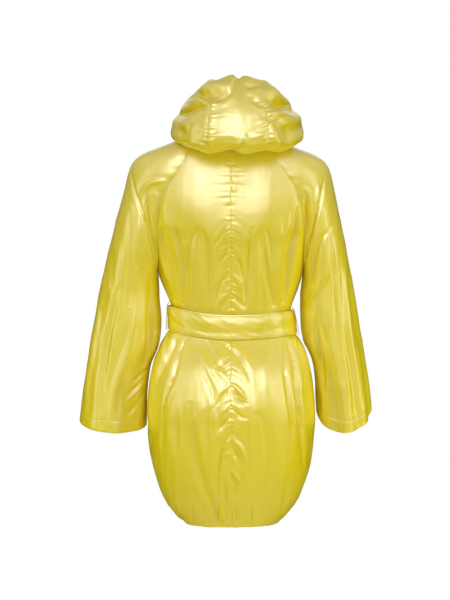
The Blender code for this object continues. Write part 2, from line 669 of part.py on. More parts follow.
def hood_profile(turn, count):
    """The way that the hood's cloth takes at one turn, as points evenly spaced along it."""
    out, height = hood_out_at(abs(turn)), hood_height_at(abs(turn))
    names = np.arange(len(out))
    fine = np.linspace(0, len(out) - 1, 160)
    out_line, height_line = smooth(names, out), smooth(names, height)
    line = np.array([(float(out_line(s)[0]), float(height_line(s)[0])) for s in fine])
    run = np.concatenate([[0], np.cumsum(np.hypot(*np.diff(line, axis=0).T))])
    at = np.linspace(0, run[-1], count)
    return np.stack([np.interp(at, run, line[:, 0]), np.interp(at, run, line[:, 1])], 1), run[-1]


def hood_roll(turn, along, length):
    """How far the hood's cloth is pressed in where it slumps in rolls."""
    inward = 0.0
    for turn_from, turn_to, along_from, along_to, depth, half_width in HOOD_ROLLS:
        share = (turn - turn_from) / (turn_to - turn_from)
        if not 0 < share < 1:
            continue
        across = (along - along_from - (along_to - along_from) * share) * length
        inward += depth * trough(across, half_width * 0.5) * math.sin(math.pi * share) ** 0.5
    return inward


def turn_of(point):
    return math.degrees(math.atan2(point.x, point.y - NECK_CENTRE))


def neck_edge(backs, sleeves, fronts):
    """The body's top edge as turns from the centre back and places, for the hood to be sewn to."""
    places = []
    for side in SIDES:
        lap_columns = 2
        edges = [column[0][0] for column in backs[side] + sleeves[side] + fronts[side][lap_columns:]]
        places += [p for p in edges if abs(p.x) > SEAM]
    return np.array(sorted((turn_of(p), *p) for p in places)).T


def hood_point(turn, row, edge, shoulders):
    """A point of the hood at a turn in degrees, towards the left if positive, and its gathers."""
    profile, length = hood_profile(turn, HOOD_ROWS + 1)
    before, after = profile[max(row - 1, 0)], profile[min(row + 1, HOOD_ROWS)]
    tangent = (after - before) / np.hypot(*(after - before))
    outward = np.array([tangent[1], -tangent[0]])
    along = row / HOOD_ROWS
    inward = hood_roll(turn, along, length) * ease(0.08, 0.16, along)
    out, height = profile[row] - outward * inward
    angle = math.radians(turn)
    shift = HOOD_SHIFT * ease(0.0, 0.3, along) * (1 - ease(120, 172, abs(turn)))
    point = Vector((out * math.sin(angle) + shift, NECK_CENTRE + out * math.cos(angle), height))
    # It starts at the body's top edge.
    first = Vector((profile[0][0] * math.sin(angle), NECK_CENTRE + profile[0][0] * math.cos(angle),
                    profile[0][1]))
    sewn = Vector([float(np.interp(turn, edge[0], axis)) for axis in edge[1:]]) + Vector((0, 0, HOOD_GAP))
    point += (sewn - first) * (1 - ease(0, 0.22, along))
    # From there it rests on the shoulders.
    for tree in shoulders if 0 < along < 0.6 else ():
        below = tree.ray_cast(point + Vector((0, 0, 0.2)), Vector((0, 0, -1)))[0]
        if below:
            point.z = max(point.z, below.z + HOOD_GAP + (HOOD_REST - HOOD_GAP) * ease(0, 0.05, along))
    near_seam = 1 - ease(0, HOOD_GATHER_REACH, abs(abs(turn) - HOOD_SEAM_TURN))
    sized = HOOD_GATHER * (row % 2) * (1 + 0.4 * vary(row, math.copysign(1, turn)))
    return point, sized * near_seam * ease(0.12, 0.2, along) * (1 - ease(0.86, 0.95, along))


def hood_columns(edge, raglan_turns, shoulders):
    """The centre panel and two sides of the hood, each as columns from the neck to the opening."""
    gap = math.degrees(SEAM / 2 / 0.15)
    across = np.linspace(gap - HOOD_SEAM_TURN, HOOD_SEAM_TURN - gap, HOOD_CENTRE_COLUMNS + 1)
    turns = {"hood_centre": list(across)}
    for side, word in SIDES.items():
        behind, before = HOOD_SIDE_COLUMNS
        first = np.linspace(HOOD_SEAM_TURN + gap, abs(raglan_turns[side]), behind + 1)
        second = np.linspace(abs(raglan_turns[side]), HOOD_TURNS[-1], before + 1)
        turns["hood_side_" + word] = [side * turn for turn in (*first, *second[1:])]
    return {name: [[hood_point(t, r, edge, shoulders) for r in range(HOOD_ROWS + 1)] for t in line]
            for name, line in turns.items()}


def hood_middle(point):
    """Places inside the slumped roll, all round."""
    flat = Vector((point.x - HOOD_SHIFT, point.y, 0))
    turn = abs(math.degrees(math.atan2(flat.x, flat.y)))
    out, height = hood_out_at(turn), hood_height_at(turn)
    centre = flat.normalized() * float(out[4] + out[9]) / 2
    return centre + Vector((HOOD_SHIFT, 0, float(height[5]) * 0.6))


def on_belt(side, wrap, across, proud):
    """A place on the belt, which runs straight between the two heights where its edges rest."""
    middle = belt_drop(side, wrap)
    upper = Ring(middle - BELT_HALF_HEIGHT, side).point(wrap)
    lower = Ring(middle + BELT_HALF_HEIGHT, side).point(wrap)
    share = (across + 1) / 2
    out = (upper[1] + lower[1]).normalized()
    return upper[0].lerp(lower[0], share) + out * (BELT_CLEAR + BELT_WALL + proud)


def belt_columns():
    """The belt, all round."""
    wraps = [(LEFT, 2 * i / (2 * BELT_COLUMNS)) for i in range(2 * BELT_COLUMNS + 1)]
    wraps += [(RIGHT, 2 - 2 * i / (2 * BELT_COLUMNS)) for i in range(1, 2 * BELT_COLUMNS)]
    return [[(on_belt(side, wrap, across, 0.0), rise) for across, rise in BELT_RELIEF]
            for side, wrap in wraps]


def knot_columns():
    """The knot, as a soft dome over the belt with a slanting crease across it."""
    quarter = Ring(BELT_FRONT_DROP, LEFT).quarter
    columns = []
    for i in range(KNOT_GRID + 1):
        u = i / KNOT_GRID * 2 - 1
        column = []
        for j in range(KNOT_GRID + 1):
            v = j / KNOT_GRID * 2 - 1
            # The square grid is rounded off to an oval.
            x, y = u * math.sqrt(1 - v * v / 2), v * math.sqrt(1 - u * u / 2)
            wrap = KNOT_WRAP - x * KNOT_HALF_WIDTH / quarter
            place = on_belt(LEFT, wrap, y * KNOT_HALF_HEIGHT / BELT_HALF_HEIGHT,
                            max(rise for _, rise in BELT_RELIEF) + KNOT_GAP + WALL)
            dome = max(0.0, 1 - x * x - y * y) ** 0.5
            crease = 0.22 * math.exp(-(((y - 0.7 * x - 0.15) / 0.22) ** 2))
            column.append((place, KNOT_RISE * dome * (1 - crease) * (0.8 + 0.2 * y)))
        columns.append(column)
    return columns


def belt_end_columns(end):
    """A hanging end of the belt. It leaves the knot narrow and widens as it lies down the skirt."""
    shift_top, shift_bottom, length = BELT_ENDS[end]
    start = BELT_FRONT_DROP + KNOT_HALF_HEIGHT + KNOT_GAP
    proud = BELT_CLEAR + BELT_WALL + max(rise for _, rise in BELT_RELIEF) + KNOT_GAP + WALL
    columns = []
    for i in range(END_COLUMNS + 1):
        across = i / END_COLUMNS * 2 - 1
        column = []
        for j in range(END_ROWS + 1):
            share = j / END_ROWS
            drop = start + length * share + 0.010 * across * share * end
            ring = Ring(drop, LEFT)
            half_width = END_HALF_WIDTH * (0.48 + 0.52 * ease(0, 0.45, share))
            shift = shift_top + (shift_bottom - shift_top) * ease(-0.2, 1, share)
            wrap = KNOT_WRAP - (shift + across * half_width) / ring.quarter
            on_ring = Ring(drop, LEFT if wrap <= 2 else RIGHT)
            place, out = on_ring.point(wrap if wrap <= 2 else 4 - wrap)
            lift_off = END_CLEAR + WALL + (proud - END_CLEAR - WALL) * (1 - ease(0, 0.12, share))
            ripple = 0.0035 * (1 - abs(across)) * (0.5 + 0.5 * math.sin(9 * share + end))
            column.append((place + out * lift_off, ripple * ease(0, 0.2, share)))
        columns.append(column)
    return columns


def make_loop(collection, side, name):
    """A thread carrier at the side seam, over the belt."""
    radius = LOOP_THICKNESS / 2
    middle = belt_drop(side, 1)
    top_rise = max(rise for _, rise in BELT_RELIEF)
    route = []
    for across in (-1.0, -0.6, -0.2, 0.2, 0.6, 1.0):
        route.append(on_belt(side, 1, across, top_rise + radius + KNOT_GAP))
    for at_start, edge in ((True, -1), (False, 1)):
        drop = middle + edge * (BELT_HALF_HEIGHT + LOOP_SPAN)
        place, out = Ring(drop, side).point(1.0)
        end = place + out * (radius + WAIST_PLEAT + SEAM)
        route = [end, *route] if at_start else [*route, end]
    curve = bpy.data.curves.new(name, "CURVE")
    curve.dimensions = "3D"
    curve.bevel_depth = radius
    curve.bevel_resolution = 2
    curve.use_fill_caps = True
    spline = curve.splines.new("POLY")
    spline.points.add(len(route) - 1)
    for point, place in zip(spline.points, route):
        point.co = (*place, 1)
    object_in(collection, name, curve, "thread")


def make_all():
    collection = bpy.data.collections.new("hooded_coat")
    bpy.context.scene.collection.children.link(collection)
    backs = {side: back_columns(side) for side in SIDES}
    fronts = {side: front_columns(side) for side in SIDES}
    sleeves = {side: sleeve_columns(side) for side in SIDES}
    surfaces = {}
    for side, word in SIDES.items():
        surfaces["back_" + word] = surface(backs[side], body_axis)
        surfaces["front_" + word] = surface(fronts[side], body_axis)
        surfaces["sleeve_" + word] = surface(sleeves[side], arm_axis(side))
        surfaces["belt_end_" + word] = surface(belt_end_columns(side), body_axis)
    shoulders = [BVHTree.FromBMesh(work) for work in surfaces.values()]
    edge = neck_edge(backs, sleeves, fronts)
    raglan_turns = {side: turn_of(fronts[side][-1][0][0]) for side in SIDES}
    for name, columns in hood_columns(edge, raglan_turns, shoulders).items():
        surfaces[name] = surface(columns, hood_middle)
    surfaces["belt"] = surface(belt_columns(), body_axis, loop=True)
    surfaces["belt_knot"] = surface(knot_columns(), body_axis)
    make_walls(collection, surfaces, {"belt": BELT_WALL})
    for side, word in SIDES.items():
        make_loop(collection, side, "belt_loop_" + word)


for old in list(bpy.data.objects):
    bpy.data.objects.remove(old)
make_all()
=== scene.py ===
"""Cloth, stitching and stage of a short satin coat with a hood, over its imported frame.

Metres, +Z up; the coat faces -Y and its left sleeve lies towards +X. A drop is a distance below
the shoulder points at the neck. Round the body a place is given as its wrap: 0 at the centre
back, 1 at the side and 2 at the centre front.
"""

import math

import bpy
import numpy as np
from bpy.props import FloatProperty, FloatVectorProperty, PointerProperty
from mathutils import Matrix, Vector
from mathutils.bvhtree import BVHTree


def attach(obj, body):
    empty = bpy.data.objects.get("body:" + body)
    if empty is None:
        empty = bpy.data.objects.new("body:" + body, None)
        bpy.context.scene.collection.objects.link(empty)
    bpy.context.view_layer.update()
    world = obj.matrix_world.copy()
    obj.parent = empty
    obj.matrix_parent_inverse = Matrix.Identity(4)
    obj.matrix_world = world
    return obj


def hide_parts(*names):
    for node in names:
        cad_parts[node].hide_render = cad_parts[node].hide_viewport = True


bl_info = {
    "name": "Hooded satin coat",
    "version": (1, 0, 0),
    "blender": (4, 5, 0),
    "location": "View3D > Sidebar > Coat",
    "description": "Makes the cloth, stitching and stage of a short satin coat with a hood",
    "category": "Object",
}

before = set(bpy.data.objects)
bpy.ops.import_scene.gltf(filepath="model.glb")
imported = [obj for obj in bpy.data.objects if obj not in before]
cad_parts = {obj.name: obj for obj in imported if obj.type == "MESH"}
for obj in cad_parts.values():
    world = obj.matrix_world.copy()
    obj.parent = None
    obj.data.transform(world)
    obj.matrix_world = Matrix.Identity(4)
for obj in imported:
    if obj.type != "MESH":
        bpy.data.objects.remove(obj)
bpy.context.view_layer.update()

LEFT, RIGHT = 1, -1
SIDES = {LEFT: "left", RIGHT: "right"}
HEM_DROP, UNDERARM_DROP = 0.858, 0.316
SQUARENESS = 2.2

BODY_RINGS = (
    # drop, half_left, half_right, back, front
    (-0.010, 0.076, 0.076, 0.070, 0.028),
    (0.000, 0.082, 0.082, 0.078, 0.034),
    (0.033, 0.150, 0.150, 0.094, 0.048),
    (0.066, 0.185, 0.185, 0.106, 0.064),
    (0.110, 0.200, 0.200, 0.115, 0.092),
    (0.143, 0.202, 0.202, 0.119, 0.108),
    (0.176, 0.197, 0.197, 0.121, 0.121),
    (0.209, 0.189, 0.189, 0.120, 0.129),
    (0.242, 0.179, 0.179, 0.116, 0.132),
    (0.275, 0.169, 0.169, 0.111, 0.130),
    (0.300, 0.162, 0.162, 0.106, 0.125),
    (0.316, 0.1585, 0.1575, 0.103, 0.121),
    (0.345, 0.1470, 0.1475, 0.098, 0.113),
    (0.385, 0.1315, 0.1330, 0.092, 0.103),
    (0.405, 0.1280, 0.1290, 0.089, 0.099),
    (0.425, 0.1300, 0.1305, 0.087, 0.097),
    (0.445, 0.1390, 0.1400, 0.087, 0.099),
    (0.460, 0.1480, 0.1490, 0.092, 0.106),
    (0.480, 0.1580, 0.1600, 0.108, 0.120),
    (0.517, 0.1715, 0.1725, 0.139, 0.144),
    (0.560, 0.1785, 0.1795, 0.157, 0.159),
    (0.605, 0.1815, 0.1820, 0.164, 0.165),
    (0.650, 0.1820, 0.1825, 0.163, 0.165),
    (0.693, 0.1795, 0.1795, 0.158, 0.160),
    (0.737, 0.1715, 0.1735, 0.149, 0.151),
    (0.780, 0.1590, 0.1600, 0.136, 0.138),
    (0.803, 0.1490, 0.1505, 0.127, 0.130),
    (0.825, 0.1370, 0.1370, 0.118, 0.121),
    (0.845, 0.1185, 0.1185, 0.107, 0.109),
    (0.870, 0.0900, 0.0920, 0.094, 0.095),
)
RAGLAN = (
    # drop, behind, in_front
    (0.000, 0.057, 0.060),
    (0.033, 0.075, 0.072),
    (0.066, 0.0935, 0.088),
    (0.110, 0.121, 0.108),
    (0.143, 0.141, 0.126),
    (0.176, 0.151, 0.140),
    (0.209, 0.1555, 0.1495),
    (0.242, 0.1575, 0.1555),
    (0.275, 0.1580, 0.1575),
    (0.300, 0.1575, 0.1575),
)
NECK_BACK_DROP, NECK_FRONT_DROP, RAGLAN_FRONT_DROP = -0.004, 0.058, 0.012
SLEEVE_ROWS = (
    # row, out_left, out_right, out_drop, in_left, in_right, in_drop, middle, half_depth
    (0, 0.070, 0.070, 0.002, 0.1585, 0.1575, 0.000, 0.008, 0.050),
    (1, 0.112, 0.112, 0.019, 0.1585, 0.1575, 0.033, 0.007, 0.055),
    (2, 0.152, 0.150, 0.034, 0.1585, 0.1575, 0.066, 0.006, 0.060),
    (3, 0.187, 0.183, 0.046, 0.1585, 0.1575, 0.100, 0.005, 0.062),
    (4, 0.2115, 0.2050, 0.063, 0.1585, 0.1575, 0.135, 0.004, 0.063),
    (5, 0.2235, 0.2165, 0.087, 0.1585, 0.1575, 0.170, 0.003, 0.064),
    (6, 0.2315, 0.2245, 0.122, 0.1585, 0.1575, 0.203, 0.002, 0.064),
    (7, 0.2425, 0.2335, 0.163, 0.1585, 0.1575, 0.235, 0.000, 0.064),
    (8, 0.2550, 0.2430, 0.207, 0.1585, 0.1575, 0.265, -0.002, 0.064),
    (9, 0.2675, 0.2530, 0.258, 0.1590, 0.1575, 0.292, -0.003, 0.064),
    (10, 0.2805, 0.2640, 0.312, 0.1600, 0.1580, 0.316, -0.004, 0.064),
    (12, 0.2915, 0.2735, 0.365, 0.1575, 0.1520, 0.366, -0.006, 0.065),
    (14, 0.3005, 0.2820, 0.418, 0.1530, 0.1530, 0.418, -0.008, 0.066),
    (16, 0.3095, 0.2890, 0.465, 0.1580, 0.1590, 0.468, -0.011, 0.067),
    (18, 0.3170, 0.2965, 0.515, 0.1775, 0.1785, 0.518, -0.014, 0.068),
    (20, 0.3265, 0.3040, 0.575, 0.1845, 0.1855, 0.575, -0.017, 0.069),
    (22, 0.3340, 0.3110, 0.640, 0.1870, 0.1880, 0.648, -0.020, 0.070),
)
SHOULDER_LOWER = {LEFT: 0.004, RIGHT: 0.010}
OPEN_ROWS = 10
CUFF_LIFT = {LEFT: 0.0, RIGHT: 0.032}
CUFF_SAG = {LEFT: 0.018, RIGHT: 0.050}
OVERLAP, UNDERLAP_DEPTH, UNDERLAP_FADE = 0.060, 0.0045, 0.035

# Broad folds of the body, by their places round it. Positive depths are troughs.
BODY_FOLDS = (
    # side, wrap_top, wrap_bottom, drop_top, drop_bottom, depth, half_width
    (LEFT, 0.86, 0.84, 0.225, 0.385, 0.0060, 0.014),
    (LEFT, 1.20, 1.24, 0.250, 0.390, 0.0050, 0.015),
    (LEFT, 1.50, 1.48, 0.230, 0.395, 0.0070, 0.016),
    (LEFT, 1.78, 1.76, 0.130, 0.395, 0.0040, 0.016),
    (RIGHT, 1.16, 1.20, 0.250, 0.390, 0.0050, 0.015),
    (RIGHT, 1.46, 1.48, 0.230, 0.395, 0.0070, 0.016),
    (RIGHT, 1.72, 1.78, 0.120, 0.395, 0.0040, 0.016),
    (LEFT, 1.16, 1.12, 0.460, 0.760, 0.0070, 0.019),
    (LEFT, 1.46, 1.50, 0.460, 0.800, 0.0090, 0.020),
    (LEFT, 1.74, 1.66, 0.470, 0.700, 0.0060, 0.018),
    (LEFT, 1.30, 1.36, 0.560, 0.858, 0.0050, 0.016),
    (RIGHT, 1.18, 1.14, 0.480, 0.740, 0.0065, 0.019),
    (RIGHT, 1.48, 1.52, 0.460, 0.800, 0.0090, 0.020),
    (RIGHT, 1.74, 1.62, 0.470, 0.720, 0.0060, 0.018),
    (RIGHT, 1.32, 1.28, 0.560, 0.858, 0.0050, 0.016),
)
BELT_HALF_HEIGHT, FOLD_RETURN = 0.026, 0.030

SLEEVE_FOLDS = (
    # side, turn_top, turn_bottom, row_top, row_bottom, depth, half_width
    (LEFT, 0.22, 0.30, 10.0, 22.5, 0.0045, 0.018),
    (LEFT, 0.10, 0.16, 12.0, 22.5, 0.0050, 0.016),
    (LEFT, 0.36, 0.40, 6.0, 22.5, 0.0035, 0.020),
    (LEFT, 0.62, 0.64, 5.0, 22.5, 0.0050, 0.020),
    (LEFT, 0.86, 0.88, 3.0, 12.0, 0.0080, 0.013),
    (LEFT, 0.80, 0.78, 12.0, 22.5, 0.0050, 0.018),
    (LEFT, 0.72, 0.70, 8.0, 19.0, 0.0040, 0.012),
    (RIGHT, 0.18, 0.22, 11.0, 22.5, 0.0060, 0.016),
    (RIGHT, 0.30, 0.33, 13.0, 22.5, 0.0065, 0.013),
    (RIGHT, 0.42, 0.45, 12.0, 22.5, 0.0070, 0.014),
    (RIGHT, 0.64, 0.66, 5.0, 22.5, 0.0050, 0.020),
    (RIGHT, 0.86, 0.88, 3.0, 12.0, 0.0080, 0.013),
    (RIGHT, 0.80, 0.76, 12.0, 22.5, 0.0050, 0.018),
    (RIGHT, 0.72, 0.70, 8.0, 19.0, 0.0040, 0.012),
)

HOOD_TURNS = (0, 25, 55, 90, 125, 150, 172)
HOOD_OUT = (
    # seam, tuck, pouch, bulge, back, slope, shoulder, roll, inside, edge
    (0.076, 0.108, 0.158, 0.196, 0.193, 0.179, 0.152, 0.120, 0.098, 0.086),
    (0.076, 0.108, 0.156, 0.192, 0.188, 0.168, 0.137, 0.105, 0.086, 0.076),
    (0.076, 0.106, 0.146, 0.167, 0.163, 0.143, 0.115, 0.089, 0.073, 0.065),
    (0.074, 0.098, 0.121, 0.136, 0.137, 0.121, 0.099, 0.080, 0.067, 0.060),
    (0.072, 0.090, 0.108, 0.118, 0.118, 0.108, 0.094, 0.079, 0.067, 0.059),
    (0.068, 0.080, 0.094, 0.102, 0.103, 0.097, 0.088, 0.077, 0.067, 0.060),
    (0.066, 0.072, 0.080, 0.085, 0.086, 0.083, 0.078, 0.072, 0.066, 0.061),
)
HOOD_HEIGHT = (
    (0.005, -0.036, -0.063, -0.050, -0.014, 0.032, 0.074, 0.102, 0.092, 0.058),
    (0.004, -0.035, -0.061, -0.046, -0.010, 0.036, 0.078, 0.104, 0.092, 0.060),
    (0.003, -0.024, -0.042, -0.030, 0.000, 0.038, 0.070, 0.088, 0.078, 0.050),
    (0.003, -0.005, -0.012, 0.000, 0.022, 0.046, 0.066, 0.078, 0.068, 0.042),
    (-0.008, -0.010, -0.009, 0.002, 0.018, 0.036, 0.051, 0.060, 0.051, 0.028),
    (-0.030, -0.030, -0.026, -0.016, -0.004, 0.010, 0.022, 0.029, 0.020, 0.002),
    (-0.050, -0.049, -0.044, -0.036, -0.028, -0.018, -0.010, -0.006, -0.012, -0.024),
)
HOOD_SEAM_TURN, HOOD_SHIFT, HOOD_STEPS = 19.5, -0.014, 160
HOOD_GAP, HOOD_REST, NECK_CENTRE = 0.0010, 0.0065, 0.006
HOOD_ROLLS = (
    # turn_from, turn_to, along_from, along_to, depth, half_width
    (8, 75, 0.70, 0.62, 0.0040, 0.030),
    (22, 100, 0.56, 0.50, 0.0080, 0.030),
    (40, 120, 0.44, 0.40, 0.0040, 0.030),
    (-10, -60, 0.66, 0.62, 0.0040, 0.028),
    (-22, -100, 0.605, 0.56, 0.0085, 0.030),
    (-24, -90, 0.45, 0.42, 0.0050, 0.030),
)

# How far down the back is taut: the lower edge of its light part, over the arches of the folds.
TAUT_LINE = (
    # across, drop
    (-0.200, 0.208),
    (-0.134, 0.210),
    (-0.117, 0.226),
    (-0.099, 0.232),
    (-0.086, 0.214),
    (-0.073, 0.204),
    (-0.059, 0.214),
    (-0.042, 0.234),
    (-0.020, 0.240),
    (0.013, 0.238),
    (0.042, 0.236),
    (0.057, 0.218),
    (0.075, 0.203),
    (0.095, 0.217),
    (0.112, 0.212),
    (0.143, 0.208),
    (0.200, 0.208),
)
TAUT_SKIRT_DROP, FOLDS_DROP = 0.624, 0.214

# Waves of the hood's upper and lower edges.
HOOD_TOP = (
    # turn, width, rise
    (6, 5, 0.003),
    (-0.5, 3.2, -0.007),
    (-26, 11, -0.006),
    (24, 9, -0.007),
)
HOOD_BOTTOM = (
    # turn, width, rise
    (24, 7, -0.0050),
    (5, 6, 0.0030),
    (-7, 7, -0.0060),
    (-21, 5, 0.0020),
    (-36, 10, -0.0050),
    (48, 12, 0.0030),
)

BELT_BACK_DROP, BELT_FRONT_DROP = 0.433, 0.418
BELT_SIDE_DROP = {LEFT: 0.410, RIGHT: 0.421}
BELT_CLEAR, BELT_WALL = 0.0026, 0.0022
BELT_RELIEF = (
    # across, rise
    (-1.0, 0.0002),
    (-0.93, 0.0012),
    (-0.88, 0.0008),
    (-0.60, 0.0018),
    (-0.34, 0.0022),
    (0.10, 0.0014),
    (0.42, 0.0006),
    (0.70, 0.0010),
    (0.88, 0.0008),
    (0.93, 0.0012),
    (1.0, 0.0002),
)
KNOT_WRAP, KNOT_HALF_WIDTH, KNOT_HALF_HEIGHT, KNOT_RISE = 1.93, 0.025, 0.031, 0.024
BELT_ENDS = {
    # shift at the knot, shift at the bottom, length
    LEFT: (0.0135, 0.046, 0.270),
    RIGHT: (-0.0135, -0.040, 0.235),
}
END_HALF_WIDTH, END_CLEAR = 0.024, 0.0016
BELT_THICKNESS, END_THICKNESS = 0.0018, 0.0014
KNOT_STAND_OFF = 0.0048

# Where the stitched lines run: from the edge, or as a share of the half width.
CUFF_TURNING, RIM_TURNING, BELT_STITCHED, END_STITCHED = 0.024, 0.012, 0.88, 0.86
TURNED_CUFF = (
    # inward, up
    (0.0012, -0.0010),
    (0.0032, 0.0004),
    (0.0042, 0.006),
    (0.0048, 0.014),
    (0.0052, 0.022),
)

CAMERA_BACK, CAMERA_ACROSS, CAMERA_DROP = 3.5, 0.0132, 0.374
CAMERA_LENS, CAMERA_SENSOR = 95.5, 36
FLOOR_RADIUS, WRONG_SIDE_ROUGHNESS = 1.6, 0.55

# How finely the pieces are made: rows and columns, or steps along them.
FRONT_STEP, HOOD_ROWS, KNOT_ROWS = 0.0036, 200, 72
SLEEVE_OPEN_ROWS, SLEEVE_TUBE_ROWS, SLEEVE_COLUMNS = 96, 116, 108
BELT_ROWS, BELT_COLUMNS = 25, 330
END_ROWS, END_COLUMNS = 116, 25
CUFF_ROW, BELT_LENGTH, TURNED_GAP = 22, 0.84, 0.0022

KEY_LAMPS = (
    # name, place, aim_height, size, share of the key's power
    ("key", (0.30, 3.0, 1.45), -0.30, (2.6, 1.4), 0.30),
    ("key sheen", (0.30, 2.85, 1.60), -0.20, (2.8, 1.7), 1.90),
    ("low sheen", (0.20, 3.0, 0.52), -0.20, (3.4, 1.05), 0.50),
    ("left sheen", (2.6, 1.0, 0.2), -0.40, (0.7, 2.0), 0.25),
    ("right sheen", (-2.6, 1.2, 0.3), -0.40, (0.9, 2.0), 0.40),
    ("front", (0.0, -2.3, 2.0), -0.35, (2.0, 1.0), 1.20),
    ("front sheen", (0.0, -3.0, 1.2), -0.35, (2.4, 1.0), 0.30),
)
FILL_LAMPS = (
    # name, place, aim_height, size, share of the fill's power
    ("back fill", (0.0, 2.6, -0.50), -0.36, (2.6, 2.2), 0.82),
    ("left fill", (2.4, 1.3, -0.7), -0.45, (1.4, 2.0), 1.16),
    ("right fill", (-2.4, 1.3, -0.7), -0.45, (1.4, 2.0), 1.42),
    ("front fill", (0.0, -2.6, -0.1), -0.45, (2.6, 2.2), 1.95),
)

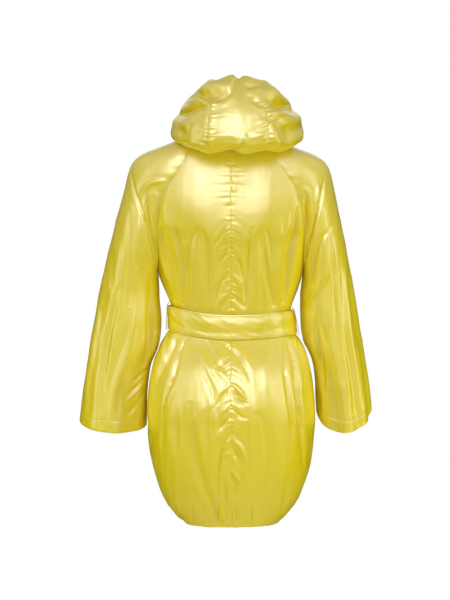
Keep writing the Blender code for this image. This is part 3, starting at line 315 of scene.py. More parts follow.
# Creases as they are seen from behind, in millimetres: to the left of the middle and below the
# shoulder points. Positive depths are troughs, and lean makes one flank steeper.
CREASES = {
    # depth, half_width, sharp, lean, then across and down for each corner
    "body": (
        (7, 8, 0.2, 0, 154, 180, 150, 242, 139, 304, 123, 374),
        (5.5, 6, 0.3, 0.1, 143, 216, 134, 264, 123, 312, 110, 381),
        (6, 6.5, 0.2, 0.1, 121, 216, 114, 251, 108, 290, 103, 330, 103, 383),
        (4, 5, 0.2, 0.1, 77, 216, 86, 238, 92, 268, 95, 308, 95, 361),
        (4, 5, 0.2, -0.1, 62, 216, 55, 238, 51, 268, 48, 308, 46, 383),
        (-2, 8, 0, 0, 73, 238, 73, 290, 73, 374),
        (2, 4, 0.2, 0, 79, 282, 79, 330, 77, 383),
        (5, 6, 0.2, -0.1, -48, 216, -40, 246, -37, 290, -33, 339, -33, 387),
        (3.5, 5, 0.2, 0, -75, 216, -84, 238, -88, 264, -90, 304),
        (5.5, 5.5, 0.3, 0, -73, 242, -77, 290, -84, 337, -95, 387),
        (-2, 8, 0, 0, -57, 242, -57, 290, -62, 374),
        (9, 6, 0.4, 0, -145, 172, -141, 216, -132, 257, -125, 301, -121, 343, -114, 378),
        (3, 5, 0.3, 0, -132, 180, -130, 233, -121, 277, -114, 330),
        (-2, 6, 0, 0, -106, 189, -106, 242, -101, 308, -103, 374),
        (3, 5, 0.4, 0.3, 13, 216, 24, 235, 37, 255),
        (-1.8, 5, 0, 0, 4, 255, 20, 264, 31, 284),
        (2.8, 5, 0.4, 0, 9, 271, 20, 286, 24, 308),
        (-1.8, 5, 0, 0, -2, 255, -15, 268, -24, 290),
        (3, 5, 0.4, 0, -4, 275, -18, 293, -24, 317, -29, 356),
        (-1.5, 5, 0, 0, -4, 319, -15, 332, -24, 365),
        (2.6, 6, 0.3, 0, 7, 317, 22, 339, 31, 365, 33, 387),
        (-1.5, 5, 0, 0, 4, 359, 18, 370, 26, 383),
        (2.5, 5, 0.3, 0, -2, 361, -18, 378, -31, 392),
        (10, 7, 0.3, 0.3, 117, 455, 134, 486, 154, 521, 167, 563),
        (6, 4, 0.7, 0, 97, 455, 112, 488, 125, 532, 139, 576, 145, 603),
        (3, 5, 0.5, 0, 145, 598, 150, 660, 152, 708),
        (-3.5, 5, 0.1, 0, 121, 563, 132, 587, 139, 612),
        (2.5, 7, 0.2, 0, 119, 612, 121, 660, 121, 708),
        (3, 5, 0.3, 0, 101, 620, 97, 682, 90, 748),
        (2.8, 4.5, 0.6, 0, 53, 464, 44, 491, 33, 508, 18, 524),
        (-2, 8, 0, 0, 66, 471, 59, 506, 44, 546, 33, 568),
        (3, 7, 0.2, 0.2, 64, 510, 55, 537, 44, 563, 37, 594, 33, 625),
        (-1.5, 6, 0, 0, 11, 488, 24, 506, 37, 519),
        (3, 6, 0.2, 0, 26, 464, 13, 475, -2, 488, -20, 508, -35, 532, -42, 554),
        (-2.5, 7, 0, 0, -11, 480, -29, 493, -42, 524),
        (-2.5, 7, 0, 0, 42, 524, 20, 537, 2, 559),
        (4, 5, 0.3, 0, 4, 570, 20, 585, 29, 605),
        (-5, 4.5, 0.1, 0, -4, 559, -18, 574, -31, 590),
        (3, 5, 0.3, 0, -2, 579, -15, 596, -37, 603),
        (-2.5, 5, 0, 0, 4, 603, 15, 616, 22, 629),
        (4, 4.5, 0.4, 0, 2, 631, 13, 642, 22, 660),
        (3, 5, 0.3, 0, -4, 614, -20, 629, -37, 636),
        (5, 4.5, 0.4, 0.2, 2, 667, 13, 689, 20, 717, 26, 748, 29, 792),
        (-5, 5, 0.1, 0, -7, 682, -22, 700, -33, 735),
        (3.5, 5, 0.3, 0, -2, 693, -11, 717, -20, 739),
        (-3, 4, 0, 0, -2, 750, -15, 766, -22, 783),
        (3.5, 4, 0.3, 0, 0, 752, -9, 779, -7, 810),
        (6, 9, 0.2, 0.2, 90, 603, 84, 682, 75, 730, 59, 783, 40, 827, 26, 854),
        (4, 5, 0.4, 0, 15, 766, 11, 796, 7, 832),
        (6, 4.5, 0.6, 0, -110, 462, -117, 506, -123, 561, -130, 620, -136, 682),
        (9, 6, 0.5, 0, -130, 469, -141, 515, -145, 563, -152, 620, -156, 682, -158, 735),
        (-5, 7, 0, 0, -145, 458, -156, 488, -167, 524, -169, 550),
        (5, 5, 0.4, 0, -121, 466, -130, 488, -139, 515),
        (4, 6, 0.3, 0, -158, 568, -165, 598, -174, 625),
        (-2.5, 12, 0, 0, -68, 488, -77, 541, -81, 590),
        (2.5, 10, 0, 0, -55, 625, -68, 638, -81, 704, -81, 792),
        (-2, 10, 0, 0, -117, 682, -119, 737, -103, 814),
        (-5, 3.5, 0, 0, 22, 821, 20, 840, 15, 862),
        (3, 2.5, 0.6, 0, 29, 832, 26, 847, 26, 867),
        (3, 2.5, 0.6, 0, -11, 827, -11, 845, -11, 867),
        (3, 2.5, 0.6, 0, -46, 823, -46, 845, -44, 867),
        (3, 2.5, 0.6, 0, 88, 818, 86, 840, 84, 862),
        (2.5, 3, 0.4, 0, -119, 801, -114, 823, -106, 845),
    ),
    "sleeve": (
        (7, 3, 0.8, 0.2, 220, 92, 213, 132, 202, 163, 189, 202, 178, 251, 165, 308),
        (-3.5, 5, 0, 0, 205, 183, 202, 242, 202, 299),
        (4, 6, 0.1, 0, 222, 180, 222, 242, 220, 304, 224, 385),
        (8, 6, 0.2, 0, 183, 136, 183, 180, 172, 231, 163, 282),
        (-4, 5, 0, 0, 200, 150, 187, 125, 167, 114, 139, 112),
        (-3, 3, 0, 0, 167, 132, 161, 185, 154, 233, 156, 290),
        (3, 3, 0.5, 0, 154, 128, 156, 176, 150, 224),
        (1.2, 2.5, 1, 0, 180, 57, 180, 88, 180, 114),
        (-6, 9, 0, 0, 207, 308, 207, 374, 216, 440, 231, 502, 253, 561, 266, 649),
        (6, 9, 0, 0, 249, 352, 262, 418, 275, 484, 284, 550, 286, 649),
        (6, 9, 0.1, 0, 178, 321, 178, 396, 180, 473, 198, 532),
        (-3, 6, 0, 0, 286, 374, 301, 462, 315, 550, 319, 638),
        (3, 4, 0.4, 0.2, 178, 519, 198, 539, 220, 559),
        (3.5, 4, 0.4, 0.2, 187, 541, 207, 565, 233, 592),
        (3, 4, 0.4, 0.2, 200, 587, 216, 612, 242, 638),
        (2.5, 3, 0.6, 0.2, 185, 559, 200, 594, 207, 638),
        (-3, 4, 0, 0, 191, 550, 213, 579, 229, 598),
        (7, 3, 0.8, -0.2, -205, 106, -198, 154, -185, 198, -174, 242, -163, 286, -147, 339),
        (-3.5, 4, 0, 0, -191, 114, -191, 141, -187, 167),
        (-4, 4, 0, 0, -152, 128, -167, 132, -176, 154, -178, 198, -172, 238),
        (7, 5, 0.2, 0, -165, 147, -165, 194, -163, 238),
        (-3, 4, 0, 0, -145, 165, -152, 211, -161, 260),
        (6, 6, 0.2, 0.2, -218, 216, -198, 242, -187, 286, -180, 341),
        (-4, 7, 0, 0, -209, 253, -207, 308, -191, 348, -167, 381),
        (7, 9, 0.1, 0, -189, 418, -196, 484, -205, 581),
        (4, 4, 0.3, 0, -222, 233, -227, 330, -233, 440, -244, 524, -262, 620),
        (3, 4, 0.3, 0, -240, 352, -249, 451, -262, 539, -273, 620),
        (2.5, 6, 0, 0, -257, 290, -268, 396, -279, 506),
        (-2.5, 5, 0, 0, -233, 290, -242, 396, -253, 495, -266, 583),
        (-3, 5, 0, 0, -216, 440, -227, 517, -242, 605),
        (-2.5, 6, 0, 0, -249, 290, -262, 418, -277, 550),
    ),
    "hood": (
        (9, 8, 0.2, 0.1, 81, -88, 62, -75, 40, -70, 18, -75, 0, -88, -9, -108),
        (-7, 10, 0, 0, 68, -90, 42, -95, 11, -103),
        (8, 8, 0.2, 0, 119, -31, 92, -42, 70, -51, 48, -57),
        (-4, 5, 0, 0, 95, -59, 73, -64, 53, -64),
        (4, 6, 0.1, 0, -26, -101, -42, -95, -57, -97),
        (5, 6, 0.2, -0.2, -35, -77, -53, -66, -70, -55, -86, -51),
        (-7, 11, 0, 0, -75, -95, -90, -84, -108, -70),
        (7, 6, 0.3, 0, -81, -64, -101, -55, -130, -55),
        (-4, 6, 0, 0, -77, -35, -99, -35, -121, -33),
        (4, 6, 0.1, 0, -79, -20, -99, -20, -121, -18),
        (3, 3, 0.8, 0, 92, -24, 90, -7, 99, 13, 114, 22),
        (4, 7, 0, 0, 110, -9, 108, 4, 110, 15),
        (3, 2.5, 0.8, 0, 51, 4, 57, 15, 64, 24),
        (5, 9, 0.1, 0, -119, -13, -125, 9, -128, 33),
        (-5, 8, 0, 0, -81, -18, -97, 13, -114, 42),
        (5, 3, 0.9, 0, -31, 29, -15, 40, 0, 48),
        (-5, 5, 0, 0, -29, 7, -31, 20, -29, 35),
        (-2, 9, 0, 0, 53, 22, 29, 13, 2, 13, -24, 20),
        (-2, 9, 0, 0, -33, 20, -55, 15, -77, 15, -103, 26),
        (4, 4, 0.5, 0, 70, 24, 57, 31, 51, 42),
    ),
}


class CoatClothSettings(bpy.types.PropertyGroup):
    thickness: FloatProperty(
        name="Thickness", description="Thickness of the satin with its wrong side", default=0.0011,
        min=0.0004, max=0.003, unit="LENGTH", subtype="DISTANCE")
    grid: FloatProperty(
        name="Grid", description="Length of the mesh's edges on the back", default=0.0018,
        min=0.0012, max=0.02, unit="LENGTH", subtype="DISTANCE")
    crease: FloatProperty(
        name="Crease depth", description="Scale of all the listed creases", default=1.15,
        min=0.0, max=2.0, subtype="FACTOR")
    turning: FloatProperty(
        name="Hem turning", description="Depth of cloth turned in at the hem", default=0.012,
        min=0.002, max=0.05, unit="LENGTH", subtype="DISTANCE")


class CoatGatherSettings(bpy.types.PropertyGroup):
    back_size: FloatProperty(
        name="Back gathers", description="Height of the gathers beside the centre back seam",
        default=0.0042, min=0.0, max=0.01, unit="LENGTH", subtype="DISTANCE")
    hood_size: FloatProperty(
        name="Hood gathers", description="Height of the gathers beside the hood's two seams",
        default=0.0034, min=0.0, max=0.01, unit="LENGTH", subtype="DISTANCE")
    waist_size: FloatProperty(
        name="Waist gathers", description="Height of the pleats that the belt draws in",
        default=0.0026, min=0.0, max=0.01, unit="LENGTH", subtype="DISTANCE")
    hem_size: FloatProperty(
        name="Hem gathers", description="Height of the pleats that the hem draws in",
        default=0.0015, min=0.0, max=0.01, unit="LENGTH", subtype="DISTANCE")


class CoatSatinSettings(bpy.types.PropertyGroup):
    face: FloatVectorProperty(
        name="Satin", description="Colour of the satin's right side", subtype="COLOR",
        size=3, default=(0.79, 0.640, 0.001), min=0.0, max=1.0)
    # Painted shade and random tone: the satin is mixed towards this colour in its creases and
    # gathers, by how far each point lies in them, and a little at random.
    tone_and_shade_colour: FloatVectorProperty(
        name="Tone and painted shade", description="Colour of the satin in its folds and gathers",
        subtype="COLOR", size=3, default=(0.79, 0.610, 0.000), min=0.0, max=1.0)
    wrong: FloatVectorProperty(
        name="Wrong side", description="Colour of the satin's duller inner side", subtype="COLOR",
        size=3, default=(0.70, 0.56, 0.02), min=0.0, max=1.0)
    thread: FloatVectorProperty(
        name="Thread", description="Colour of the stitching and of the belt's carriers",
        subtype="COLOR", size=3, default=(0.64, 0.53, 0.03), min=0.0, max=1.0)
    roughness: FloatProperty(
        name="Roughness", description="Roughness of the satin's right side", default=0.33,
        min=0.1, max=0.8, subtype="FACTOR")


class CoatStageSettings(bpy.types.PropertyGroup):
    floor_drop: FloatProperty(
        name="Floor", description="How far the floor lies below the shoulders", default=1.70,
        min=0.9, max=4.0, unit="LENGTH", subtype="DISTANCE")
    key: FloatProperty(
        name="Key light", description="Power of the soft light above and behind", default=18.0,
        min=0.0, max=400.0, unit="POWER")
    fill: FloatProperty(
        name="Fill light", description="Power of the even light from behind and in front",
        default=26.0, min=0.0, max=400.0, unit="POWER")
    room: FloatProperty(
        name="Room light", description="Strength of the light from above the horizon", default=1.0,
        min=0.0, max=2.0, subtype="FACTOR")


def through(keys, values, blur=0.008):
    """A function of arrays through values, a little blurred, which never swings past them."""
    keys = np.asarray(keys, float)
    values = np.asarray(values, float).reshape(len(keys), -1)
    step = np.diff(keys)[:, None]
    rise = np.diff(values, axis=0) / step
    slope = np.zeros_like(values)
    slope[0], slope[-1] = rise[0], rise[-1]
    product = rise[:-1] * rise[1:]
    total = np.where(product > 0, rise[:-1] + rise[1:], 1.0)
    slope[1:-1] = np.where(product > 0, 2 * product / total, 0.0)
    fine = np.linspace(keys[0], keys[-1], 901)
    i = np.clip(np.searchsorted(keys, fine, side="right") - 1, 0, len(keys) - 2)
    h = step[i]
    t = (fine[:, None] - keys[i][:, None]) / h
    table = (1 + 2 * t) * (1 - t) ** 2 * values[i] + t * (1 - t) ** 2 * h * slope[i]
    table += t * t * (3 - 2 * t) * values[i + 1] + t * t * (t - 1) * h * slope[i + 1]
    if blur:
        reach = int(3 * blur * len(fine))
        weights = np.exp(-0.5 * (np.arange(-reach, reach + 1) / (blur * len(fine))) ** 2)
        weights /= weights.sum()
        before, after = 2 * table[0] - table[reach:0:-1], 2 * table[-1] - table[-2:-reach - 2:-1]
        long = np.concatenate([before, table, after])
        table = np.stack([np.convolve(line, weights, "valid") for line in long.T], 1)

    def at(key):
        return np.stack([np.interp(key, fine, line) for line in table.T], -1)

    return at


def ease(low, high, value):
    """0 at low, 1 at high, and smooth between."""
    t = np.clip((value - low) / (high - low), 0.0, 1.0)
    return t * t * (3 - 2 * t)


def trough(distance, half_width):
    """A soft trough one deep at the middle, with a low ridge along each side."""
    t = distance / half_width
    return np.exp(-t * t) - 0.12 * np.exp(-((np.abs(t) - 1.9) ** 2))


def dip(distance, half_width=0.003):
    """A soft bell: 1 where the distance is 0."""
    return np.exp(-(distance / half_width) ** 2)


def bilinear(table, row, column):
    """Values of a table at places between its rows and columns."""
    rows, columns = table.shape[:2]
    row, column = np.clip(row, 0, rows - 1.000001), np.clip(column, 0, columns - 1.000001)
    i, j = row.astype(int), column.astype(int)
    s, t = (row - i)[..., None], (column - j)[..., None]
    return ((table[i, j] * (1 - s) + table[i + 1, j] * s) * (1 - t)
            + (table[i, j + 1] * (1 - s) + table[i + 1, j + 1] * s) * t)


def noise(points, size, seed):
    """Soft value noise from -1 to 1. size is the distance between its nodes along each axis."""
    values = np.random.default_rng(seed).uniform(-1, 1, (32, 32, 32))
    place = points / np.asarray(size, float) + 1000.0
    low = np.floor(place).astype(int)
    part = place - low
    part = part * part * part * (part * (part * 6 - 15) + 10)
    found = 0.0
    for corner in range(8):
        bits = np.array([corner & 1, corner >> 1 & 1, corner >> 2 & 1])
        at = (low + bits) % 32
        weight = np.prod(np.where(bits, part, 1 - part), -1)
        found = found + values[at[..., 0], at[..., 1], at[..., 2]] * weight
    return found


def crumple(points, size, seed):
    """Ridged noise from -1 to 1, with soft humps and narrow folds between them."""
    return 1 - 2 * np.abs(noise(points, size, seed)) ** 0.8 * 1.25


def table_of(rows, blur=0.008):
    """A function of arrays through the rows of a table, by their first value."""
    return through([row[0] for row in rows], [row[1:] for row in rows], blur)


ring_at = table_of(BODY_RINGS)
raglan_at = table_of(RAGLAN)
sleeve_at = table_of(SLEEVE_ROWS)
hood_out_at = through(HOOD_TURNS, HOOD_OUT, 0.03)
hood_height_at = through(HOOD_TURNS, HOOD_HEIGHT, 0.03)
taut_line_at = table_of(TAUT_LINE, 0.006)
belt_relief_at = table_of(BELT_RELIEF, 0.01)


class HalfBody:
    """Half the body's surface as a table over drops and wraps."""

    STEP, TOP = 0.002, -0.010
    TURNS, WRAPS = 180, 200  # steps to the side

    def __init__(self, side):
        self.side = side
        self.drops = np.arange(self.TOP, 0.8705, self.STEP)
        half_left, half_right, back, front = ring_at(self.drops).T
        half = half_left if side == LEFT else half_right
        turns = np.linspace(0, math.pi, 2 * self.TURNS + 1)
        power = 2 / SQUARENESS
        sine, cosine = np.sin(turns), np.cos(turns)
        x = half[:, None] * np.abs(sine) ** power
        y = np.where(cosine > 0, back[:, None], front[:, None])
        y = y * np.sign(cosine) * np.abs(cosine) ** power
        run = np.insert(np.cumsum(np.hypot(np.diff(x), np.diff(y)), 1), 0, 0.0, 1)
        self.quarters, self.wholes = run[:, self.TURNS], run[:, -1]
        self.outline_x, self.outline_run = x, run
        wraps = np.linspace(0, 2, 2 * self.WRAPS + 1)
        lines = []
        for k in range(len(x)):
            quarter, whole = self.quarters[k], self.wholes[k]
            at = np.where(wraps <= 1, wraps * quarter, quarter + (wraps - 1) * (whole - quarter))
            lines.append(np.stack([np.interp(at, run[k], x[k]), np.interp(at, run[k], y[k])], -1))
        self.table = np.array(lines)
        slope = np.gradient(self.table, axis=1)
        slope[:, 0], slope[:, -1] = (1, 0), (-1, 0)
        out = np.stack([-slope[..., 1], slope[..., 0]], -1)
        self.outs = out / np.linalg.norm(out, axis=-1, keepdims=True)
        self.seams = [self.seam_line(in_front) for in_front in (False, True)]

    def quarter(self, drop):
        return np.interp(drop, self.drops, self.quarters)

    def whole(self, drop):
        return np.interp(drop, self.drops, self.wholes)

    def run_of(self, drop, wrap):
        quarter = self.quarter(drop)
        past = (wrap - 1) * (self.whole(drop) - quarter)
        return np.where(wrap <= 1, wrap * quarter, quarter + past)

    def place(self, drop, wrap):
        """Points and outward directions at drops and wraps. Past 2 they are on the other front."""
        drop, wrap = np.broadcast_arrays(np.asarray(drop, float), np.asarray(wrap, float))
        sign = self.side * np.where(wrap > 2, -1, 1) * np.where(wrap < 0, -1, 1)
        wrap = np.abs(np.where(wrap > 2, 4 - wrap, wrap))
        row, column = (drop - self.TOP) / self.STEP, wrap * self.WRAPS
        x, y = np.moveaxis(bilinear(self.table, row, column), -1, 0)
        out_x, out_y = np.moveaxis(bilinear(self.outs, row, column), -1, 0)
        return (np.stack([sign * x, y, -drop], -1),
                np.stack([sign * out_x, out_y, np.zeros_like(x)], -1))

    def seam_line(self, in_front):
        """Wraps of the raglan seam at the drops of its rows, smooth down to the underarm."""
        top = RAGLAN_FRONT_DROP if in_front else 0.0
        inner_drops = sleeve_at(np.arange(OPEN_ROWS + 1.0))[:, 5]
        drops = top + (UNDERARM_DROP - top) * inner_drops / UNDERARM_DROP
        wraps = []
        for drop in drops[:-1]:
            k = int(np.clip(round((drop - self.TOP) / self.STEP), 0, len(self.drops) - 1))
            x, run, n = self.outline_x[k], self.outline_run[k], self.TURNS
            distance = min(float(raglan_at(drop)[1 if in_front else 0]), float(x[n]))
            if in_front:
                at = np.interp(-distance, -x[n:], run[n:])
                wraps.append(1 + (at - self.quarters[k]) / (self.wholes[k] - self.quarters[k]))
            else:
                wraps.append(float(np.interp(distance, x[:n + 1], run[:n + 1])) / self.quarters[k])
        return through(drops, [*wraps, 1.0], 0.004)

    def seam_wrap(self, drop, in_front):
        found = self.seams[1 if in_front else 0](drop)[..., 0]
        return np.where(drop >= UNDERARM_DROP, 1.0, found)


BODY = {side: HalfBody(side) for side in SIDES}


def belt_drop(side, wrap):
    """The belt's middle line."""
    end = np.where(wrap < 1, BELT_BACK_DROP, BELT_FRONT_DROP)
    middle = BELT_SIDE_DROP[side]
    return middle + (end - middle) * np.abs(np.cos(math.pi * wrap / 2)) ** 1.5


def from_belt_edge(side, drop, wrap):
    return np.abs(drop - belt_drop(side, wrap)) - BELT_HALF_HEIGHT


def body_folds(side, drop, wrap):
    """How far the cloth lies inside the body's rings for its broad folds."""
    half = BODY[side]
    inward = np.zeros_like(drop)
    for on, top, bottom, drop_top, drop_bottom, depth, half_width in BODY_FOLDS:
        if on != side:
            continue
        share = np.clip((drop - drop_top) / (drop_bottom - drop_top), 0, 1)
        across = half.run_of(drop, wrap) - half.run_of(drop, top + (bottom - top) * share)
        inward += depth * trough(across, half_width) * np.sin(math.pi * share) ** 0.7
    inward *= ease(0, FOLD_RETURN, from_belt_edge(side, drop, wrap))
    seam = half.seam_wrap(drop, False), half.seam_wrap(drop, True)
    near = np.minimum(*[np.abs(half.run_of(drop, wrap) - half.run_of(drop, s)) for s in seam])
    return np.where(drop < UNDERARM_DROP, inward * ease(0, 0.03, near), inward)


class Gathers:
    """Uneven pleats or puckers beside a seam, each with its own width, height and length."""

    def __init__(self, length, pitch, reach, seed, uneven=0.45, own=0):
        rng = np.random.default_rng(seed)
        count = int(length / pitch * 2) + 4
        widths = pitch * (1 + uneven * rng.uniform(-1, 1, count))
        self.edges = np.concatenate([[0], np.cumsum(widths)]) - pitch * rng.uniform(0, 1)
        rng = np.random.default_rng(seed + 500 + own)
        self.sizes = 1 + uneven * rng.uniform(-1, 1, count + 1)
        self.reaches = reach * np.exp(uneven * 1.6 * rng.uniform(-1, 1, count + 1))

    def height(self, along, away, lean=0.0, rise=0.006, puff=0.7, peak=1.0):
        """Height from 0 to about 1. lean tilts the pleats along the seam as they run from it."""
        along = along - lean * away
        k = np.clip(np.searchsorted(self.edges, along, side="right") - 1, 0, len(self.edges) - 2)
        part = (along - self.edges[k]) / (self.edges[k + 1] - self.edges[k])
        crest = np.abs(np.sin(math.pi * part)) ** puff
        fade = np.exp(-(away / self.reaches[k]) ** 1.6)
        size = 1 + (self.sizes[k] - 1) * ease(0, 0.005, away)
        start = 0.35 + 0.65 * ease(0, rise, away)
        return crest * size * fade * start * peak


def normals(points, outward_from=None, closed=False):
    """Unit normals of a grid of points, turned away from the given middle points."""
    if closed:
        across = np.roll(points, -1, 1) - np.roll(points, 1, 1)
        across[:, 0] = points[:, 1] - points[:, -2]
        across[:, -1] = across[:, 0]
    else:
        across = np.gradient(points, axis=1)
    down = np.gradient(points, axis=0)
    found = np.cross(across, down)
    length = np.linalg.norm(found, axis=-1, keepdims=True)
    found /= np.maximum(length, 1e-12)
    if outward_from is not None and np.sum((points - outward_from) * found) < 0:
        found = -found
    return found


def seen_from_behind(points):
    """Where the camera sees points in the plane of the neck: millimetres to the left and down."""
    nearer = CAMERA_BACK / (CAMERA_BACK - points[..., 1])
    across = CAMERA_ACROSS + (points[..., 0] - CAMERA_ACROSS) * nearer
    below = CAMERA_DROP + (-points[..., 2] - CAMERA_DROP) * nearer
    return np.stack([across, below], -1) * 1000


def curve_through(corners, count=10):
    """A smooth line through corners."""
    corners = np.asarray(corners, float)
    if len(corners) < 3:
        return corners
    before, after = 2 * corners[0] - corners[1], 2 * corners[-1] - corners[-2]
    ends = np.concatenate([[before], corners, [after]])
    t = np.linspace(0, 1, count, endpoint=False)[:, None]
    pieces = []
    for a, b, c, d in zip(ends, ends[1:], ends[2:], ends[3:]):
        pieces.append(0.5 * (2 * b + (c - a) * t + (2 * a - 5 * b + 4 * c - d) * t ** 2
                             + (3 * b - a - 3 * c + d) * t ** 3))
    return np.concatenate([*pieces, corners[-1:]])


def crease_depth(points, facing, cloth):
    """How far the creases of one kind of cloth press the points in. facing is 0 to 1."""
    seen = seen_from_behind(points)
    inward = np.zeros(points.shape[:-1])
    for depth, half_width, sharp, lean, *corners in CREASES[cloth]:
        line = curve_through(np.reshape(corners, (-1, 2)))
        reach = half_width * 3.6
        low, high = line.min(0) - reach, line.max(0) + reach
        mask = np.all((seen > low) & (seen < high), -1) & (facing > 0)
        if not mask.any():
            continue
        at = seen[mask]
        best = np.full(len(at), 1e9)
        share = np.zeros(len(at))
        signed = np.zeros(len(at))
        lengths = np.linalg.norm(np.diff(line, axis=0), axis=1)
        run = np.concatenate([[0], np.cumsum(lengths)])
        for k in range(len(lengths)):
            way = line[k + 1] - line[k]
            off = at - line[k]
            t = np.clip(off @ way / (way @ way), 0, 1)
            gap = off - t[:, None] * way
            distance = np.linalg.norm(gap, axis=1)
            closer = distance < best
            best = np.where(closer, distance, best)
            share = np.where(closer, (run[k] + t * lengths[k]) / run[-1], share)
            side = np.sign(way[0] * gap[:, 1] - way[1] * gap[:, 0])
            signed = np.where(closer, side, signed)
        t = best / (half_width * (0.55 + 0.45 * np.sin(math.pi * share)))
        soft = np.exp(-t * t) - 0.12 * np.exp(-((t - 1.9) ** 2))
        hard = np.exp(-np.sqrt(t * t + 0.02) * 1.8) * 1.25 - 0.10 * np.exp(-((t - 2.0) ** 2) / 1.2)
        shape = soft * (1 - sharp) + hard * sharp
        shape = shape + lean * signed * t * np.exp(-t * t * 0.8)
        inward[mask] += depth * 0.001 * shape * np.sin(math.pi * np.clip(share, 0.03, 0.97)) ** 0.6
    return inward * facing


def relaxed(points):
    """The grid with each inner point moved halfway to its neighbours' middle."""
    inner = points[1:-1, 1:-1]
    mean = (points[:-2, 1:-1] + points[2:, 1:-1] + points[1:-1, :-2] + points[1:-1, 2:]) / 4
    points[1:-1, 1:-1] = inner + 0.5 * (mean - inner)
    return points


def axis_of(points):
    """The body's middle line at the height of each point."""
    return points * (0, 0, 1)


def run_along(points, axis):
    """How far each point lies along its column (0) or row (1)."""
    steps = np.linalg.norm(np.diff(points, axis=axis), axis=-1)
    return np.insert(np.cumsum(steps, axis), 0, 0.0, axis)


def squares(index):
    """The corners of each square of a grid of numbers."""
    return np.stack([index[:-1, :-1], index[:-1, 1:], index[1:, 1:], index[1:, :-1]],
                    -1).reshape(-1, 4)


def painted_shade_amount(points, outs):
    """How far each point lies in a crease or pucker, from 0 to 1: the mask of the painted shade
    there.
    """
    found = 0.0
    for reach, depth in ((3, 0.0007), (9, 0.0032)):
        if min(points.shape[:2]) <= 2 * reach + 1:
            continue
        soft = blurred_rows(points, reach)
        soft = np.swapaxes(blurred_rows(np.swapaxes(soft, 0, 1), reach), 0, 1)
        found = found + np.sum((soft - points) * outs, -1) / depth
    return ease(0.0, 1.0, found)


def sewn_piece(node, points, outward_from, thickness,
               closed=False, stitched=None):
    """A sheet of cloth over a grid of points, tied to the frame, with how it was cut.

    stitched gives, where there is a stitched line, the way along it and 1 more than the distance
    from it.
    """
    rows, columns = points.shape[:2]
    last = columns - 1 if closed else columns
    index = np.arange(rows * last).reshape(rows, last)
    if closed:
        index = np.concatenate([index, index[:, :1]], 1)
    quads, corners = squares(index), squares(np.arange(rows * columns).reshape(rows, columns))
    outs = normals(points, None, closed)
    if np.sum((points - outward_from) * outs) < 0:
        quads, corners, outs = quads[:, ::-1], corners[:, ::-1], -outs
    mesh = bpy.data.meshes.new(node + "_cloth")
    mesh.from_pydata(points[:, :last].reshape(-1, 3).tolist(), [], quads.tolist())
    maps = {"weave": np.stack([run_along(points, 1), run_along(points, 0)], -1)}
    if stitched is not None:
        maps["seams"] = stitched
    for label, places in maps.items():
        layer = mesh.uv_layers.new(name=label)
        layer.data.foreach_set("uv", places.reshape(-1, 2)[corners.ravel()].ravel())
    # Painted shade: each point keeps how far it lies in a crease or pucker, and the satin is mixed
    # towards its shade colour there.
    crease_shade_mask = mesh.attributes.new("crease_shade_mask", "FLOAT", "POINT")
    depth = np.broadcast_to(painted_shade_amount(points, outs), points.shape[:2])
    crease_shade_mask.data.foreach_set("value", depth[:, :last].ravel())
    piece = bpy.data.objects.new(node + "_cloth", mesh)
    bpy.context.collection.objects.link(piece)
    for material in coat_materials():
        mesh.materials.append(material)
    bpy.ops.object.select_all(action="DESELECT")
    piece.select_set(True)
    bpy.context.view_layer.objects.active = piece
    wall = piece.modifiers.new("Wall", "SOLIDIFY")
    wall.thickness = thickness
    wall.offset = -1
    wall.material_offset = 1
    wall.material_offset_rim = 0
    bpy.ops.object.modifier_apply(modifier=wall.name)
    bpy.ops.object.shade_smooth_by_angle(angle=math.radians(60))
    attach(piece, "root")
    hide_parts(node)


def stitches(along, off, more=0):
    """A stitched line's map: the way along it and 1 more than the distance from it.

    more is the number of rows that are added at the end, further from the line.
    """
    found = np.stack(np.broadcast_arrays(along, 1 + off), -1)
    return np.concatenate([found, np.repeat(found[-1:] + np.array([0, 0.02]), more, 0)])


def row_shares(centre_top, seam_top, step):
    """Drops of the rows of a front or back, at the centre line and at the outer seam."""
    open_rows = int(UNDERARM_DROP / step)
    share = np.linspace(0, 1, open_rows + 1)
    low = np.arange(UNDERARM_DROP, HEM_DROP, step)[1:]
    low = np.concatenate([low, [HEM_DROP]])
    centre = np.concatenate([centre_top + (UNDERARM_DROP - centre_top) * share, low])
    seam = np.concatenate([seam_top + (UNDERARM_DROP - seam_top) * share, low])
    return centre, seam


def facing_back(points, outs):
    to_camera = np.array([CAMERA_ACROSS, CAMERA_BACK, -CAMERA_DROP]) - points
    to_camera /= np.linalg.norm(to_camera, axis=-1, keepdims=True)
    return ease(0.02, 0.30, np.sum(outs * to_camera, -1))


def small_folds(points, size):
    """Broad unevenness of soft cloth, the same on both sides of a seam."""
    found = 0.55 * noise(points, (0.055, 0.055, 0.13), 11)
    found += 0.30 * crumple(points, (0.034, 0.034, 0.075), 12)
    found += 0.15 * crumple(points, (0.016, 0.016, 0.034), 13)
    return found * size


def hanging_folds(points, size, seed):
    """Narrow soft folds that run down the cloth."""
    return size * crumple(points, (0.013, 0.05, 0.10), seed)


def with_turned_hem(points, turning):
    """The grid with more rows at the end, where the hem is turned in."""
    line = points[-1]
    inner = [line + (line * (-1, -1, 0)) * 0.02 * k
             + np.array([0, 0, -TURNED_GAP * math.sin(k * 1.4)]) for k in (0.5, 1.0)]
    inner += [line * (0.975, 0.975, 1) + np.array([0, 0, turning * k]) for k in (0.3, 0.8, 1.4)]
    return np.concatenate([points, np.array(inner)])


